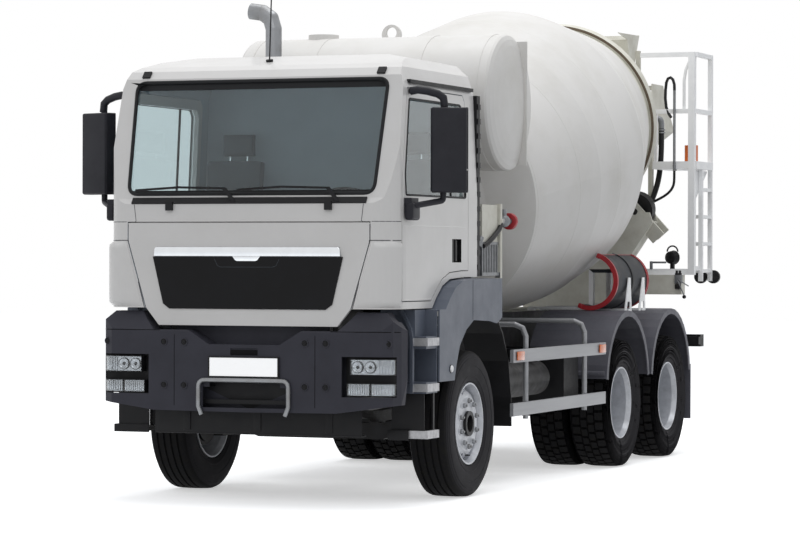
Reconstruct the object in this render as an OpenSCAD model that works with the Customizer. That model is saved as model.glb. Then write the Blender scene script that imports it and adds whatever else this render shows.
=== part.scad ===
// Concrete mixer truck: three-axle forward-control tractor with a rotating drum.
// Millimetres. X is the vehicle's left, the front faces -Y, Z is up.
// Stations along the vehicle are measured from the front axle.

/* [Layout] */
// Front axle to middle axle
wheelbase = 3600; // [3500:50:3900]
// Middle axle to rear axle
bogie_spacing = 1400; // [1370:10:1450]
// Front axle ahead of the model's origin
front_axle_ahead = 2910; // [2800:5:3000]
// Width over the front fenders and steps
body_w = 2440; // [2400:10:2500]
// Width over the rear fenders and the side guards
rear_w = 2540; // [2500:10:2550]

/* [Wheels] */
// Outer radius of every tyre
tyre_r = 536; // [515:1:545]
// Width of every tyre
tyre_w = 315; // [295:5:325]
// Radius of the rim's lip
rim_r = 300; // [290:1:310]
// Centre of a front tyre from the centre line
front_tyre_x = 1030; // [1000:5:1050]
// Centre of an outer rear tyre from the centre line
outer_tyre_x = 1085; // [1070:1:1090]
// Between the centres of twin tyres
twin_pitch = 350; // [340:5:360]
// Radius of the circle of wheel nuts
nut_circle_r = 167.5; // [160:0.5:175]
// Kingpin from the centre line
kingpin_x = 850; // [830:5:860]

/* [Chassis] */
// Over the outsides of the two frame rails
frame_w = 762; // [740:2:800]
// Height of a frame rail
rail_h = 270; // [240:10:300]
// Flange width of a frame rail
rail_flange = 85; // [75:5:95]
// Plate thickness of a frame rail
rail_t = 9; // [7:1:12]
// Top of the frame above the ground
frame_top = 1045; // [1030:5:1060]
// Top of the mixer's own subframe
subframe_top = 1300; // [1280:10:1320]
// Rear end of the frame behind the front axle
frame_rear = 6230; // [6200:10:6260]

/* [Cab] */
// Half width of the cab's sides
cab_half_w = 1120; // [1100:5:1130]
// Front face of the cab
cab_front = -1390; // [-1395:1:-1380]
// Rear face of the cab
cab_rear = 280; // [270:1:290]
// Underside of the cab's sides
cab_bottom = 1390; // [1385:1:1400]
// Top of the roof
cab_top = 3225; // [3200:5:3250]
// Thickness of the cab's walls
cab_wall = 45; // [35:1:55]
// Thickness of a door
door_t = 62; // [55:1:70]
// Gap round doors and the front flap
shut_gap = 6.5; // [5:0.5:8]
// Thickness of the window glass
glass_t = 6; // [4:1:8]
// Cab's tilting axis behind the front axle
cab_pivot_y = -1345; // [-1348:1:-1342]
// Height of the cab's tilting axis
cab_pivot_z = 1330; // [1325:1:1340]

/* [Bumper] */
// Front face of the bumper
bumper_front = -1440; // [-1445:1:-1435]
// Half width of the bumper
bumper_half_w = 1160; // [1140:5:1180]
// Wall of the bumper's shell
bumper_wall = 14; // [10:1:20]

/* [Drum] */
// Tilt of the drum's axis
drum_tilt = 12.2; // [11:0.1:13]
// Drum's front flange behind the front axle
drum_front = 1780; // [1760:5:1800]
// Height of the drum's axis at its front flange
drum_front_z = 2153; // [2140:1:2165]
// Plate of the drum
drum_wall = 8; // [6:1:12]
// Radius of the drum's running ring
ring_r = 905; // [895:1:915]
// Middle of the running ring along the drum's axis
ring_s = 3980; // [3960:5:4000]
// Radius of a carrying roller
roller_r = 160; // [150:1:170]
// Angle of a carrying roller from straight below
roller_angle = 40; // [36:1:44]

/* [Tank] */
// Radius of the water tank
tank_r = 525; // [500:5:530]
// Water tank behind the front axle
tank_y = 1210; // [1200:5:1220]
// Height of the water tank's axis
tank_z = 2945; // [2930:5:2960]
// Half length of the water tank
tank_half = 1115; // [1080:5:1125]

/* [Chutes] */
// Radius of a chute
chute_r = 215; // [200:5:225]
// Length of the swivelling chute
chute_len = 900; // [850:10:920]
// Slope of the chute at rest
chute_slope = 48; // [45:1:50]
// Swing axis of the chute behind the front axle
swing_y = 6640; // [6620:5:6660]
// Height of the chute's hinge
chute_pin_z = 2060; // [2040:5:2080]

/* [Hidden] */
$fn = 48;
// Seat clearance between pieces that are drawn as separate solids
seat = 0.3;
middle_axle = wheelbase;
rear_axle = wheelbase + bogie_spacing;
axle_z = tyre_r;
half_body = body_w / 2;
half_rear = rear_w / 2;
frame_bottom = frame_top - rail_h;
rail_x = frame_w / 2;
drum_base = [0, drum_front, drum_front_z];
tail_y = frame_rear - 40;
white = "#e8e6e2";
dark = "#34343c";
slate = "#4a4f5a";
silver = "#b9bcc0";
cream = "#d8d4c4";
black = "#17181a";

// A polygon in the side view, given as [station, height], extruded from x0 to x1
module side_plate(x0, x1, points) {
    translate([x0, 0, 0]) rotate([90, 0, 90]) linear_extrude(x1 - x0) polygon(points);
}

// A polygon in the front view, given as [x, height], extruded from station y0 to y1
module front_plate(y0, y1, points) {
    translate([0, y1, 0]) rotate([90, 0, 0]) linear_extrude(y1 - y0) polygon(points);
}

// A box from its low corner to its high corner
module block(low, high) {
    translate(low) cube(high - low);
}

module mirrored() {
    children();
    mirror([1, 0, 0]) children();
}

// A round bar between two points
module rod(a, b, r) {
    d = b - a;
    translate(a)
        rotate([0, acos(d[2] / norm(d)), atan2(d[1], d[0])])
            cylinder(h = norm(d), r = r);
}

// A bent round bar through a list of points
module bent_rod(points, r) {
    for (i = [0 : len(points) - 2]) rod(points[i], points[i + 1], r);
    for (i = [1 : len(points) - 2]) translate(points[i]) sphere(r + 0.5);
}

// Arc of radius r that rounds the corner b between a and c
function bend(a, b, c, r, n) =
    let (u = unit(a - b), w = unit(c - b), half = acos(u * w) / 2, turn = 180 - 2 * half,
         middle = b + unit(u + w) * r / sin(half),
         v0 = b + u * r / tan(half) - middle, v1 = b + w * r / tan(half) - middle)
    [for (i = [0 : n]) middle + (sin((1 - i / n) * turn) * v0 + sin(i / n * turn) * v1) / sin(turn)];

// A path with each of its inner corners rounded
function rounded(p, r, n) = concat([p[0]],
    [for (i = [1 : len(p) - 2]) each bend(p[i - 1], p[i], p[i + 1], r, n)], [p[len(p) - 1]]);

// Section of a tube at p that runs along d; ref is never along the tube
function ring_points(p, d, r, ref, sides) =
    let (u = unit(cross(d, ref)), v = cross(unit(d), u))
    [for (k = [0 : sides - 1]) p + r * (cos(360 * k / sides) * u + sin(360 * k / sides) * v)];

// A tube through a list of points
module bent_tube(points, r, ref, sides) {
    n = len(points);
    rings = [for (i = [0 : n - 1])
        each ring_points(points[i], points[min(i + 1, n - 1)] - points[max(i - 1, 0)], r, ref, sides)];
    polyhedron(points = rings, faces = concat(
        [[for (k = [0 : sides - 1]) k]],
        [for (i = [0 : n - 2], k = [0 : sides - 1])
            [sides * i + k, sides * (i + 1) + k, sides * (i + 1) + (k + 1) % sides,
                sides * i + (k + 1) % sides]],
        [[for (k = [sides - 1 : -1 : 0]) sides * (n - 1) + k]]));
}

module x_cylinder(x0, x1, r) {
    translate([x0, 0, 0]) rotate([0, 90, 0]) cylinder(h = x1 - x0, r = r);
}

function unit(v) = v / norm(v);
function left_of(a, b) = unit([a[1] - b[1], b[0] - a[0]]);
// Direction across a bend of an open path, as long as the mitre needs
function mitre(p, i) =
    let (a = left_of(p[max(i, 1) - 1], p[max(i, 1)]),
         b = left_of(p[min(i, len(p) - 2)], p[min(i, len(p) - 2) + 1]),
         m = unit(a + b))
    m / (m * a);
// A strip of thickness t on the left of an open path
function strip(p, t) = concat(p, [for (i = [len(p) - 1 : -1 : 0]) p[i] + t * mitre(p, i)]);
// Points of an arc from angle a0 to a1
function arc(c, r, a0, a1, n) =
    [for (i = [0 : n]) c + r * [cos(a0 + (a1 - a0) * i / n), sin(a0 + (a1 - a0) * i / n)]];

// Frame, bumper and front end

rail_front = -1180;

module rail() {
    side = [[0, 0], [rail_flange, 0], [rail_flange, rail_t], [rail_t, rail_t],
        [rail_t, rail_h - rail_t], [rail_flange, rail_h - rail_t], [rail_flange, rail_h], [0, rail_h]];
    translate([rail_x, frame_rear, frame_bottom]) rotate([90, 0, 0]) mirror([1, 0, 0])
        linear_extrude(frame_rear - rail_front) polygon(side);
}

// Cross members: station, height above the rail's underside, depth, height
crossmembers = [[-1120, 40, 120, 190], [1150, 60, 90, 150], [2500, 60, 90, 150],
    [4300, 50, 120, 170], [5600, 60, 90, 150], [6170, 30, 60, 210]];
inner_w = frame_w - 2 * rail_t;

module frame() {
    color(dark) {
        mirrored() rail();
        for (c = crossmembers)
            block([-inner_w / 2, c[0] - c[2] / 2, frame_bottom + c[1]],
                [inner_w / 2, c[0] + c[2] / 2, frame_bottom + c[1] + c[3]]);
        mirrored() block([rail_x - 120, rail_front - 100, frame_bottom + 30],
            [rail_x, rail_front, frame_bottom + 230]);
        tow_hitch();
    }
}

module tow_hitch() {
    difference() {
        union() {
            block([-110, frame_rear - 30, frame_bottom + 50], [110, frame_rear + 20, frame_bottom + 220]);
            block([-55, frame_rear, frame_bottom + 70], [55, frame_rear + 130, frame_bottom + 110]);
            block([-55, frame_rear, frame_bottom + 160], [55, frame_rear + 130, frame_bottom + 200]);
        }
        translate([0, frame_rear + 80, frame_bottom]) cylinder(h = rail_h, r = 20);
    }
}

// Outline of the bumper in the front view, left half from the top centre down
bumper_edge = [[0, 1135], [270, 1135], [435, 1235], [705, 1235], [775, 1305], [825, 1366],
    [1040, 1366], [1110, 1300], [bumper_half_w, 1240], [bumper_half_w, 900], [1140, 725], [700, 665],
    [0, 660]];
bumper_plan = [[0, bumper_front], [760, bumper_front], [1040, bumper_front + 14],
    [1105, bumper_front + 50], [1140, bumper_front + 120], [bumper_half_w, bumper_front + 185],
    [bumper_half_w - 20, bumper_front + 190], [720, bumper_front + 190], [720, bumper_front + 130],
    [0, bumper_front + 130]];
bumper_side = [[bumper_front, 600], [bumper_front, 1225], [bumper_front + 90, 1366],
    [bumper_front + 190, 1366], [bumper_front + 190, 600]];

module bumper_form(inset) {
    intersection() {
        translate([0, 0, 600]) linear_extrude(800) offset(delta = -inset)
            polygon(concat(bumper_plan, [for (i = [len(bumper_plan) - 1 : -1 : 0])
                [-bumper_plan[i][0], bumper_plan[i][1]]]));
        translate([0, bumper_front + 200, 0]) rotate([90, 0, 0]) linear_extrude(250)
            offset(delta = -inset) polygon(concat(bumper_edge, [for (i = [len(bumper_edge) - 1 : -1 : 0])
                [-bumper_edge[i][0], bumper_edge[i][1]]]));
        translate([-1300, 0, 0]) rotate([90, 0, 90]) linear_extrude(2600)
            offset(delta = -inset) polygon(bumper_side);
    }
}

// Height of the joint under the shoulder caps, and station of the sheet behind the notch
shoulder_z = 1236;
screen_y = -1290;
lamp_x = [740, 1120];
lamp_z = [780, 1060];

module bumper() {
    color(dark) {
        difference() {
            bumper_form(0);
            bumper_form(bumper_wall);
            block([-1110, bumper_front + 150, 690], [1110, bumper_front + 250, 1110]);
            mirrored() block([850, bumper_front + 150, 690], [1110, bumper_front + 250, 1340]);
            block([-320, bumper_front - 50, 690], [320, bumper_front + 100, 868]);
            mirrored() block([lamp_x[0], bumper_front - 50, lamp_z[0]],
                [lamp_x[1], bumper_front + 120, lamp_z[1]]);
            block([-105, bumper_front - 50, 1060], [105, bumper_front + 8, 1110]);
            // Joint between the bumper and its shoulder caps
            mirrored() block([650, bumper_front - 50, shoulder_z], [bumper_half_w + 50, bumper_front + 250,
                shoulder_z + seat]);
        }
        // Dark sheet behind the bumper's notch
        block([-590, screen_y, 940], [590, screen_y + 6, 1340]);
        // Brackets that carry the bumper on the rails
        mirrored() block([rail_x - 110, bumper_front + bumper_wall, frame_bottom + 60],
            [rail_x - 10, rail_front - 100, frame_bottom + 200]);
        // Bar across the step opening
        block([-400, bumper_front + 60, 715], [400, bumper_front + 75, 745]);
        mirrored() block([370, bumper_front + bumper_wall, 715], [400, bumper_front + 75, 745]);
    }
}

step_tube_r = 15;

module bumper_step() {
    y = bumper_front - step_tube_r - 1;
    color(silver) {
        bent_tube(rounded([[-320, y, 640], [-345, y, 700], [-345, y, 885], [345, y, 885], [345, y, 700],
            [320, y, 640]], 45, 5), step_tube_r, [0, 1, 0], 16);
        mirrored() rod([345, y, 800], [345, bumper_front - seat, 800], step_tube_r - 3);
    }
}

module number_plate() {
    color("white") block([-260, bumper_front - 12, 914], [260, bumper_front - seat, 1042]);
}

// Lenses of one side as [inner x, low z, high z], and the outer part of their plan
head_lenses = [[800, 935, 1043], [776, 790, 874]];
lens_plan = [[1040, bumper_front + 34], [1082, bumper_front + 58], [1112, bumper_front + 100],
    [1112, bumper_front + 110]];

module lamps() {
    color(silver) {
        mirrored() for (l = head_lenses) translate([0, 0, l[1]]) linear_extrude(l[2] - l[1])
            polygon(concat([[l[0], bumper_front + 110], [l[0], bumper_front + 24]], lens_plan));
        // Housing that holds both lenses
        mirrored() block([lamp_x[0] + seat, bumper_front + 90, lamp_z[0] + seat],
            [lamp_x[1] - seat, bumper_front + 120, lamp_z[1] - seat]);
        // Tail lamps
        mirrored() block([900, tail_y, 940], [1190, tail_y + 110, 1050]);
    }
    // Bracket of the tail lamps
    color(black) mirrored() block([rail_x + seat, tail_y - 60, 960], [1190, tail_y, 1030]);
}

// Axles, springs and drive

kingpin_r = 24;
// Half heights of the axle's eye and of the knuckle's fork round it
eye_half = 60;
fork_half = 110;
eye_r = 55;
spindle_r = 45;
rear_spindle_r = 60;
bearing_gap = 0.1;
beam_z = axle_z - 70;
housing_r = 205;

module axles() {
    color(black) {
        difference() {
            union() {
                // Dropped beam between the kingpin eyes
                front_plate(-45, 45, [[-kingpin_x, axle_z + 50], [-700, axle_z + 45], [-500, beam_z + 60],
                    [500, beam_z + 60], [700, axle_z + 45], [kingpin_x, axle_z + 50],
                    [kingpin_x, axle_z - 50], [700, axle_z - 60], [500, beam_z - 60],
                    [-500, beam_z - 60], [-700, axle_z - 60], [-kingpin_x, axle_z - 50]]);
                mirrored() translate([kingpin_x, 0, axle_z - eye_half]) cylinder(h = 2 * eye_half,
                    r = eye_r);
            }
            mirrored() translate([kingpin_x, 0, axle_z - eye_half - 1])
                cylinder(h = 2 * eye_half + 2, r = kingpin_r + bearing_gap);
        }
        for (y = [middle_axle, rear_axle]) translate([0, y, axle_z]) {
            x_cylinder(-outer_tyre_x + 60, outer_tyre_x - 60, rear_spindle_r);
            x_cylinder(-560, 560, 85);
            x_cylinder(-130, 130, housing_r);
            translate([0, -330, 60]) rotate([-90, 0, 0]) cylinder(h = 200, r = 95);
        }
    }
}

// Leaf stacks: station of the middle, bottom of the stack, half length, rise of the ends
leaf_t = 20;
leaf_x = [400, 480];
front_stack = [0, beam_z + 72, 760, 95];
bogie_stack = [(middle_axle + rear_axle) / 2, 600, 700, 60];
leaves = 4;

module leaf_stack(stack) {
    radius = (pow(stack[2], 2) + pow(stack[3], 2)) / (2 * stack[3]);
    for (i = [0 : leaves - 1]) {
        half = stack[2] * (1 - 0.22 * i);
        r = radius + (i - leaves) * leaf_t;
        side_plate(leaf_x[0], leaf_x[1],
            strip(arc([stack[0], stack[1] + radius], r + leaf_t, 270 - asin(half / r),
                270 + asin(half / r), 8),
                leaf_t));
    }
}

module leaf_springs() {
    color(black) mirrored() {
        leaf_stack(front_stack);
        leaf_stack(bogie_stack);
        // Hangers of the front springs, saddle on the beam and the bogie's trunnion
        for (s = [-1, 1]) block([rail_x + seat, s * 745 - 30, 690], [leaf_x[1], s * 745 + 30,
            frame_bottom + 80]);
        for (y = [middle_axle, rear_axle]) block([leaf_x[0], y - 60, axle_z + 85 + seat], [leaf_x[1],
            y + 60, 722]);
        block([leaf_x[0], -60, beam_z + 60], [leaf_x[1], 60, beam_z + 74]);
        block([leaf_x[0] + 2, bogie_stack[0] - 60, 540], [leaf_x[1] - 2, bogie_stack[0] + 60, 602]);
        block([rail_x + seat, bogie_stack[0] - 130, 560], [leaf_x[0], bogie_stack[0] + 130,
            frame_bottom + 90]);
    }
}

module driveline() {
    color(black) {
        // Engine as one block, on mounts between the rails
        block([-290, -930, 640], [290, 90, 1480]);
        mirrored() for (y = [-700, -60]) block([290, y, 860], [rail_x - rail_t - seat, y + 90, 920]);
        // Radiator
        block([-290, -1040, 640], [290, -950, 1372]);
        block([-200, -950, 900], [200, -930, 1200]);
        // Gearbox and shafts
        translate([0, 90, 760]) rotate([-90, 0, 0]) cylinder(h = 950, r = 210);
        rod([0, 1040, 740], [0, middle_axle - 335, axle_z + 60], 45);
        rod([0, middle_axle + housing_r, axle_z + 40], [0, rear_axle - 335, axle_z + 60], 40);
    }
}

// Steering knuckle of the left side, drawn at its kingpin
module knuckle() {
    color(black) translate([kingpin_x, 0, axle_z]) {
        translate([0, 0, -fork_half]) cylinder(h = 2 * fork_half, r = kingpin_r);
        for (s = [-1, 1]) {
            z0 = s > 0 ? eye_half + seat : -fork_half;
            translate([0, 0, z0]) cylinder(h = fork_half - eye_half - seat, r = eye_r);
            block([0, -eye_r, z0], [90, eye_r, z0 + fork_half - eye_half - seat]);
        }
        block([62, -eye_r, -fork_half], [90, eye_r, fork_half]);
        x_cylinder(90, front_tyre_x - kingpin_x + 80, spindle_r);
        x_cylinder(90, 100, 180);
        // Steering arm, behind the axle
        block([-40, 40, -fork_half - 24], [10, 330, -fork_half]);
        block([-40, 0, -fork_half - 24], [40, 60, -fork_half]);
    }
}

module knuckle_left() { knuckle(); }
module knuckle_right() { mirror([1, 0, 0]) knuckle(); }

// Wheels

// Half section of a tyre as [radius, offset]
tyre_side = [[rim_r, 0.40 * tyre_w], [rim_r + 110, 0.5 * tyre_w], [tyre_r - 28, 0.46 * tyre_w],
    [tyre_r, 0.40 * tyre_w]];

module tyre() {
    color("#222426") rotate([0, 90, 0])
        rotate_extrude($fn = 64)
            polygon(concat(tyre_side, [for (i = [3 : -1 : 0]) [tyre_side[i][0], -tyre_side[i][1]]]));
}

rim_wall = 12;
rim_half = 0.43 * tyre_w;
rim_out = rim_r - seat;
nut_count = 10;

module ring_x(points) {
    rotate([0, 90, 0]) rotate_extrude($fn = 64) polygon(points);
}

// Barrel of one rim, with its lips
module rim_barrel() {
    w = rim_half;
    ring_x([[rim_out, -w], [rim_out, w], [rim_out - rim_wall, w], [rim_out - rim_wall - 14, w - 40],
        [rim_out - rim_wall - 14, 40 - w], [rim_out - rim_wall, -w]]);
}

module nut_ring(x, r) {
    for (i = [0 : nut_count - 1]) rotate([360 * i / nut_count, 0, 0])
        translate([x, 0, r]) rotate([0, 90, 0]) cylinder(h = 26, r = 17, $fn = 6);
}

disc_r = rim_out - rim_wall - 13.5;
hand_hole_r = 21;

// Disc as [radius, offset], dished towards +X by the amount out
module wheel_disc(out) {
    difference() {
        ring_x([[90, out], [205, out], [232, out - 14], [disc_r + 6, out - 62], [disc_r + 6, out - 78],
            [226, out - 28], [200, out - 14], [90, out - 14]]);
        for (i = [0 : nut_count - 1]) rotate([360 * (i + 0.5) / nut_count, 0, 0])
            translate([out - 100, 0, 247]) rotate([0, 90, 0]) cylinder(h = 120, r = hand_hole_r);
    }
    nut_ring(out - 1, nut_circle_r);
}

module front_rim() {
    color(silver) {
        rim_barrel();
        wheel_disc(118);
        difference() {
            union() {
                x_cylinder(-60, 104, 100);
                x_cylinder(104, 140, 92);
                x_cylinder(-70, 90, 205);
            }
            x_cylinder(-80, 92, spindle_r + bearing_gap);
            x_cylinder(100, 150, 62);
        }
    }
}

module twin_rims() {
    color(silver) {
        for (s = [-1, 1]) translate([s * twin_pitch / 2, 0, 0]) rim_barrel();
        // Both discs are bolted together between the tyres
        mirror([1, 0, 0]) wheel_disc(0);
        wheel_disc(0);
        difference() {
            union() {
                x_cylinder(-60, 150, 105);
                x_cylinder(-60, -14, 205);
            }
            x_cylinder(-80, twin_pitch / 2 - 50, rear_spindle_r + bearing_gap);
        }
    }
}

twin_x = outer_tyre_x - twin_pitch / 2;

module at_wheel(side, x, y) {
    mirror([side == "right" ? 1 : 0, 0, 0]) translate([x, y, axle_z]) children();
}

module twin_tyres() {
    for (s = [-1, 1]) translate([s * twin_pitch / 2, 0, 0]) tyre();
}

// Fenders and steps

fender_t = 12;
// Upper edge of the front fender, from the step box to its rear end
fender_top = [[-780, 1382], [-652, 1382], [-575, 1450], [-450, 1536], [-300, 1582], [-50, 1597], [560,
    1597]];
// Edge of its wheel opening, from the rear end back to the step box
fender_opening = [[565, 1307], [450, 1262], [293, 1282], [-64, 1295], [-220, 1230], [-359, 1118],
    [-430, 980], [-470, 870], [-780, 870]];
// Curved wing behind the front wheel
rear_wing = [[822, 476], [815, 700], [752, 975], [612, 1190], [500, 1290]];
// Heights of the cab's steps
step_z = [478, 807, 1129];
step_y = [-1020, -785];
box_front = -1008;
// Inner edges of the lowest step and of the two above it
step_x = [944, 1088];

module front_fenders() {
    color(slate) mirrored() {
        side_plate(half_body - fender_t, half_body, concat(fender_top, fender_opening));
        side_plate(800, half_body - fender_t, strip(fender_top, -fender_t));
        side_plate(880, half_body - fender_t, strip(rear_wing, fender_t));
        // Arm on the rail that carries the wing
        block([rail_x + seat, 530, 1180], [900, 575, 1225]);
        block([rail_x + seat, 530, frame_top - 90], [rail_x + 40, 575, 1225]);
        // Step box under the door, with the strip that edges its front
        difference() {
            block([860, box_front, step_z[1] - 12], [1205, step_y[1], 1382]);
            block([872, box_front + 12, 700], [step_x[0] - 12, step_y[1] - 12, 1370]);
            block([step_x[0], box_front - 20, step_z[1] + 66], [1300, step_y[1] - 20, step_z[2] - 20]);
            block([1120, box_front - 20, step_z[2] + 66], [1300, step_y[1] - 20, 1400]);
        }
        front_plate(box_front - 30, box_front + 2, strip([[1114, step_z[1] - 12], [1114, 1180], [1104,
            1250],
            [1060, 1340], [1030, 1382]], 22));
        // Straps of the lowest step, and the flap that hangs in front of it
        for (x = [1010, 1175]) block([x, step_y[1] - 45, step_z[0] + 20], [x + 15, step_y[1] - 15,
            step_z[1]]);
        block([step_x[0], box_front + 2, step_z[0] + 20], [1190, box_front + 8, step_z[1]]);
    }
    color(silver) mirrored() {
        for (z = [step_z[1], step_z[2]]) block([step_x[1], step_y[0], z], [half_body, step_y[1], z + 56]);
        block([step_x[0], box_front, step_z[0] + 10], [1190, step_y[1], step_z[0] + 40]);
        block([step_x[0], step_y[0], step_z[0]], [half_body, box_front + 1, step_z[0] + 56]);
        block([1190, box_front, step_z[0]], [half_body, step_y[1], step_z[0] + 56]);
    }
    color(dark) mirrored() block([rail_x + seat, -1000, 860], [860, -880, 960]);
}

// Circle of a rear fender's inside, and how far its centre lies from the axle
rear_fender_r = 612;
rear_fender_z = 690;
rear_fender_shift = 55;
rear_fender_x = 570;
rear_fender_t = 8;
rear_lip = 40;

fender_bar_z = 800;
flap_y = rear_axle - rear_fender_shift + rear_fender_r + 10;
// Station and inner end of each bar
fender_bars = [[middle_axle + rear_fender_shift - rear_fender_r - 6, rail_x + seat], [bogie_stack[0],
    leaf_x[0] + seat],
    [flap_y + 6, rail_x + seat]];

module rear_fenders() {
    color(dark) mirrored() {
        for (y = [middle_axle + rear_fender_shift, rear_axle - rear_fender_shift]) {
            side_plate(rear_fender_x, half_rear,
                strip(arc([y, rear_fender_z], rear_fender_r, 174, 6, 16), rear_fender_t));
            side_plate(half_rear - 10, half_rear,
                strip(arc([y, rear_fender_z], rear_fender_r, 174, 6, 16), -rear_lip));
        }
        // Bars on the rails that carry the fenders
        for (b = fender_bars) translate([0, b[0], fender_bar_z]) x_cylinder(b[1], half_rear - 20, 19);
        for (b = fender_bars) block([rear_fender_x, b[0] - 30, fender_bar_z - 6], [half_rear - 60,
            b[0] + 30, fender_bar_z + 6]);
        // Mud flap
        block([rear_fender_x, flap_y, 310], [half_rear, flap_y + 12, fender_bar_z]);
    }
}

// Side guards

guard_y = [680, 3010];
guard_low = 556;
guard_high = 960;
guard_rail_h = 98;
guard_posts = [1105, 2580];
guard_tube_r = 21;
guard_tube_x = half_rear - 27 - guard_tube_r;

module side_guards() {
    color(silver) mirrored() {
        for (z = [guard_low, guard_high])
            block([half_rear - 27, guard_y[0], z], [half_rear, guard_y[1], z + guard_rail_h]);
        for (y = guard_posts)
            bent_rod([[rail_x + seat, y, 1240], [guard_tube_x - 90, y, 1240], [guard_tube_x - 26, y, 1213],
                [guard_tube_x, y, 1150], [guard_tube_x, y, 520]], guard_tube_r);
    }
    color("#d8691c") mirrored() for (y = [guard_y[0] + 90, guard_y[1] - 170])
        block([half_rear, y, guard_high + 22], [half_rear + 6, y + 80, guard_high + 76]);
}

module battery_box() {
    color(black) {
        block([rail_x + seat, 2480, 600], [1080, 2860, 1010]);
        for (y = [2560, 2740]) block([rail_x + 20, y, 1010], [1060, y + 30, 1022]);
    }
}

module fuel_tank() {
    color(silver) difference() {
        union() {
            block([-1100, 1150, 560], [-560, 2700, 1020]);
            block([-560, 1400, 600], [-rail_x - seat, 1460, 980]);
            block([-560, 2350, 600], [-rail_x - seat, 2410, 980]);
            translate([-830, 2500, 1020]) cylinder(h = 30, r = 55);
        }
        // Rounded lower and upper outer edges
        for (z = [560, 1020]) translate([-1100, 1100, z]) rotate([0, 45, 0])
            translate([-50, 0, -50]) cube([100, 1700, 100]);
    }
}

module air_tanks() {
    color(black) {
        for (x = [560, 880]) translate([x, 1150, 790]) rotate([-90, 0, 0]) cylinder(h = 1150, r = 140);
        for (y = [1300, 2050]) {
            block([rail_x + seat, y, 760], [980, y + 40, 800]);
            block([400, y, 926], [1000, y + 40, 950]);
        }
    }
}

module exhaust_stack() {
    color(silver) {
        difference() {
            union() {
                bent_rod([[-600, 450, 1110], [-600, 450, 3500], [-625, 450, 3580], [-690, 450, 3625],
                    [-790, 450, 3640]], 62);
                block([-680, 380, 1090], [-rail_x - seat, 520, 1112]);
                block([-rail_x - 30, 380, 900], [-rail_x - seat, 520, 1112]);
            }
            rod([-700, 450, 3627], [-800, 450, 3641.5], 55);
        }
    }
}

// Mixer: subframe, drum drive and drum

beam_web = 12;
swing_bearing_z = [1170, 1280];
swing_pin_r = 30;

module subframe() {
    color(cream) {
        mirrored() {
            // Channel on top of the rail
            block([rail_x - beam_web, 620, frame_top + seat], [rail_x, 6500, subframe_top]);
            for (z = [frame_top + seat, subframe_top - beam_web])
                block([rail_x - 80, 620, z], [rail_x, 6500, z + beam_web]);
        }
        for (y = [640, 1300, 1780, 3000, 4300, 5750, 6420])
            block([-rail_x + beam_web, y, frame_top + 40], [rail_x - beam_web, y + 70, subframe_top - 80]);
        // Bearing of the swivelling chute
        difference() {
            block([-90, 6490, swing_bearing_z[0]], [90, swing_y + 70, swing_bearing_z[1]]);
            translate([0, swing_y, swing_bearing_z[0] - 1])
                cylinder(h = swing_bearing_z[1] - swing_bearing_z[0] + 2, r = swing_pin_r + bearing_gap);
        }
    }
}

// Gearbox at the drum's front, along the drum's axis
gearbox_r = 255;
drive_shaft_r = 60;
gearbox_s = [-420, -12];
pedestal_x = [262, 290];

module on_drum_axis() {
    translate(drum_base) rotate([drum_tilt - 90, 0, 0]) children();
}

module drum_drive() {
    color(cream) difference() {
        union() {
            mirrored() side_plate(pedestal_x[0], pedestal_x[1], [[1250, subframe_top], [1840, subframe_top],
                [1760, 1900], [1740, 2150], [1440, 2200], [1400, 2050], [1300, 1700]]);
            block([-pedestal_x[0], 1480, subframe_top], [pedestal_x[0], 1510, 2000]);
            block([-pedestal_x[0], 1700, subframe_top], [pedestal_x[0], 1725, 2000]);
            mirrored() block([pedestal_x[1], 1470, subframe_top], [rail_x, 1840, subframe_top + 16]);
        }
        on_drum_axis() translate([0, 0, -700]) cylinder(h = 690, r = gearbox_r + seat);
    }
    color(dark) on_drum_axis() difference() {
        union() {
            translate([0, 0, gearbox_s[0]]) cylinder(h = gearbox_s[1] - gearbox_s[0], r = gearbox_r);
            translate([0, 0, gearbox_s[0] - 190]) cylinder(h = 190, r = 95);
        }
        translate([0, 0, -160]) cylinder(h = 170, r = drive_shaft_r + bearing_gap);
    }
}

// Outside of the drum as [along the axis, radius]
drum_outline = [[0, 300], [60, 470], [150, 600], [330, 960], [1350, 1186], [1750, 1228], [2450, 1232],
    [3900, 862], [4720, 565]];

module tube_ring(z0, z1, inner, outer) {
    rotate_extrude($fn = 96) polygon([[inner, z0], [outer, z0], [outer, z1], [inner, z1]]);
}

module drum() {
    color(white) on_drum_axis() {
        // Shell, open at the rear mouth
        rotate_extrude($fn = 96) polygon([for (p = strip(drum_outline, drum_wall)) [p[1], p[0]]]);
        // Front plate and drive shaft
        translate([0, 0, 1]) cylinder(h = 20, r = 312);
        translate([0, 0, -140]) cylinder(h = 150, r = drive_shaft_r);
        // Running ring and the collar of the mouth
        tube_ring(ring_s - 50, ring_s + 50, 828, ring_r);
        tube_ring(4678, 4724, 569, 592);
    }
}

// Where a carrying roller turns, in the drum's own frame
module at_rollers() {
    on_drum_axis() for (s = [-1, 1]) rotate([0, 0, 90 + s * roller_angle])
        translate([ring_r + roller_r + 0.5, 0, ring_s]) children();
}

roller_pin_r = 30;

module drum_rollers() {
    color(black) at_rollers() {
        difference() {
            cylinder(h = 110, r = roller_r, center = true);
            for (s = [-1, 1]) translate([0, 0, s * 50]) cylinder(h = 30, r = roller_r - 45, center = true);
        }
        cylinder(h = 190, r = roller_pin_r, center = true);
    }
}

// Half outline of the rear pedestal's plates
pedestal_half = [[0, subframe_top], [rail_x, subframe_top], [600, 1700], [860, 2080], [830, 2170], [0,
    2170]];
pedestal_y = [5745, 5935];

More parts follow.
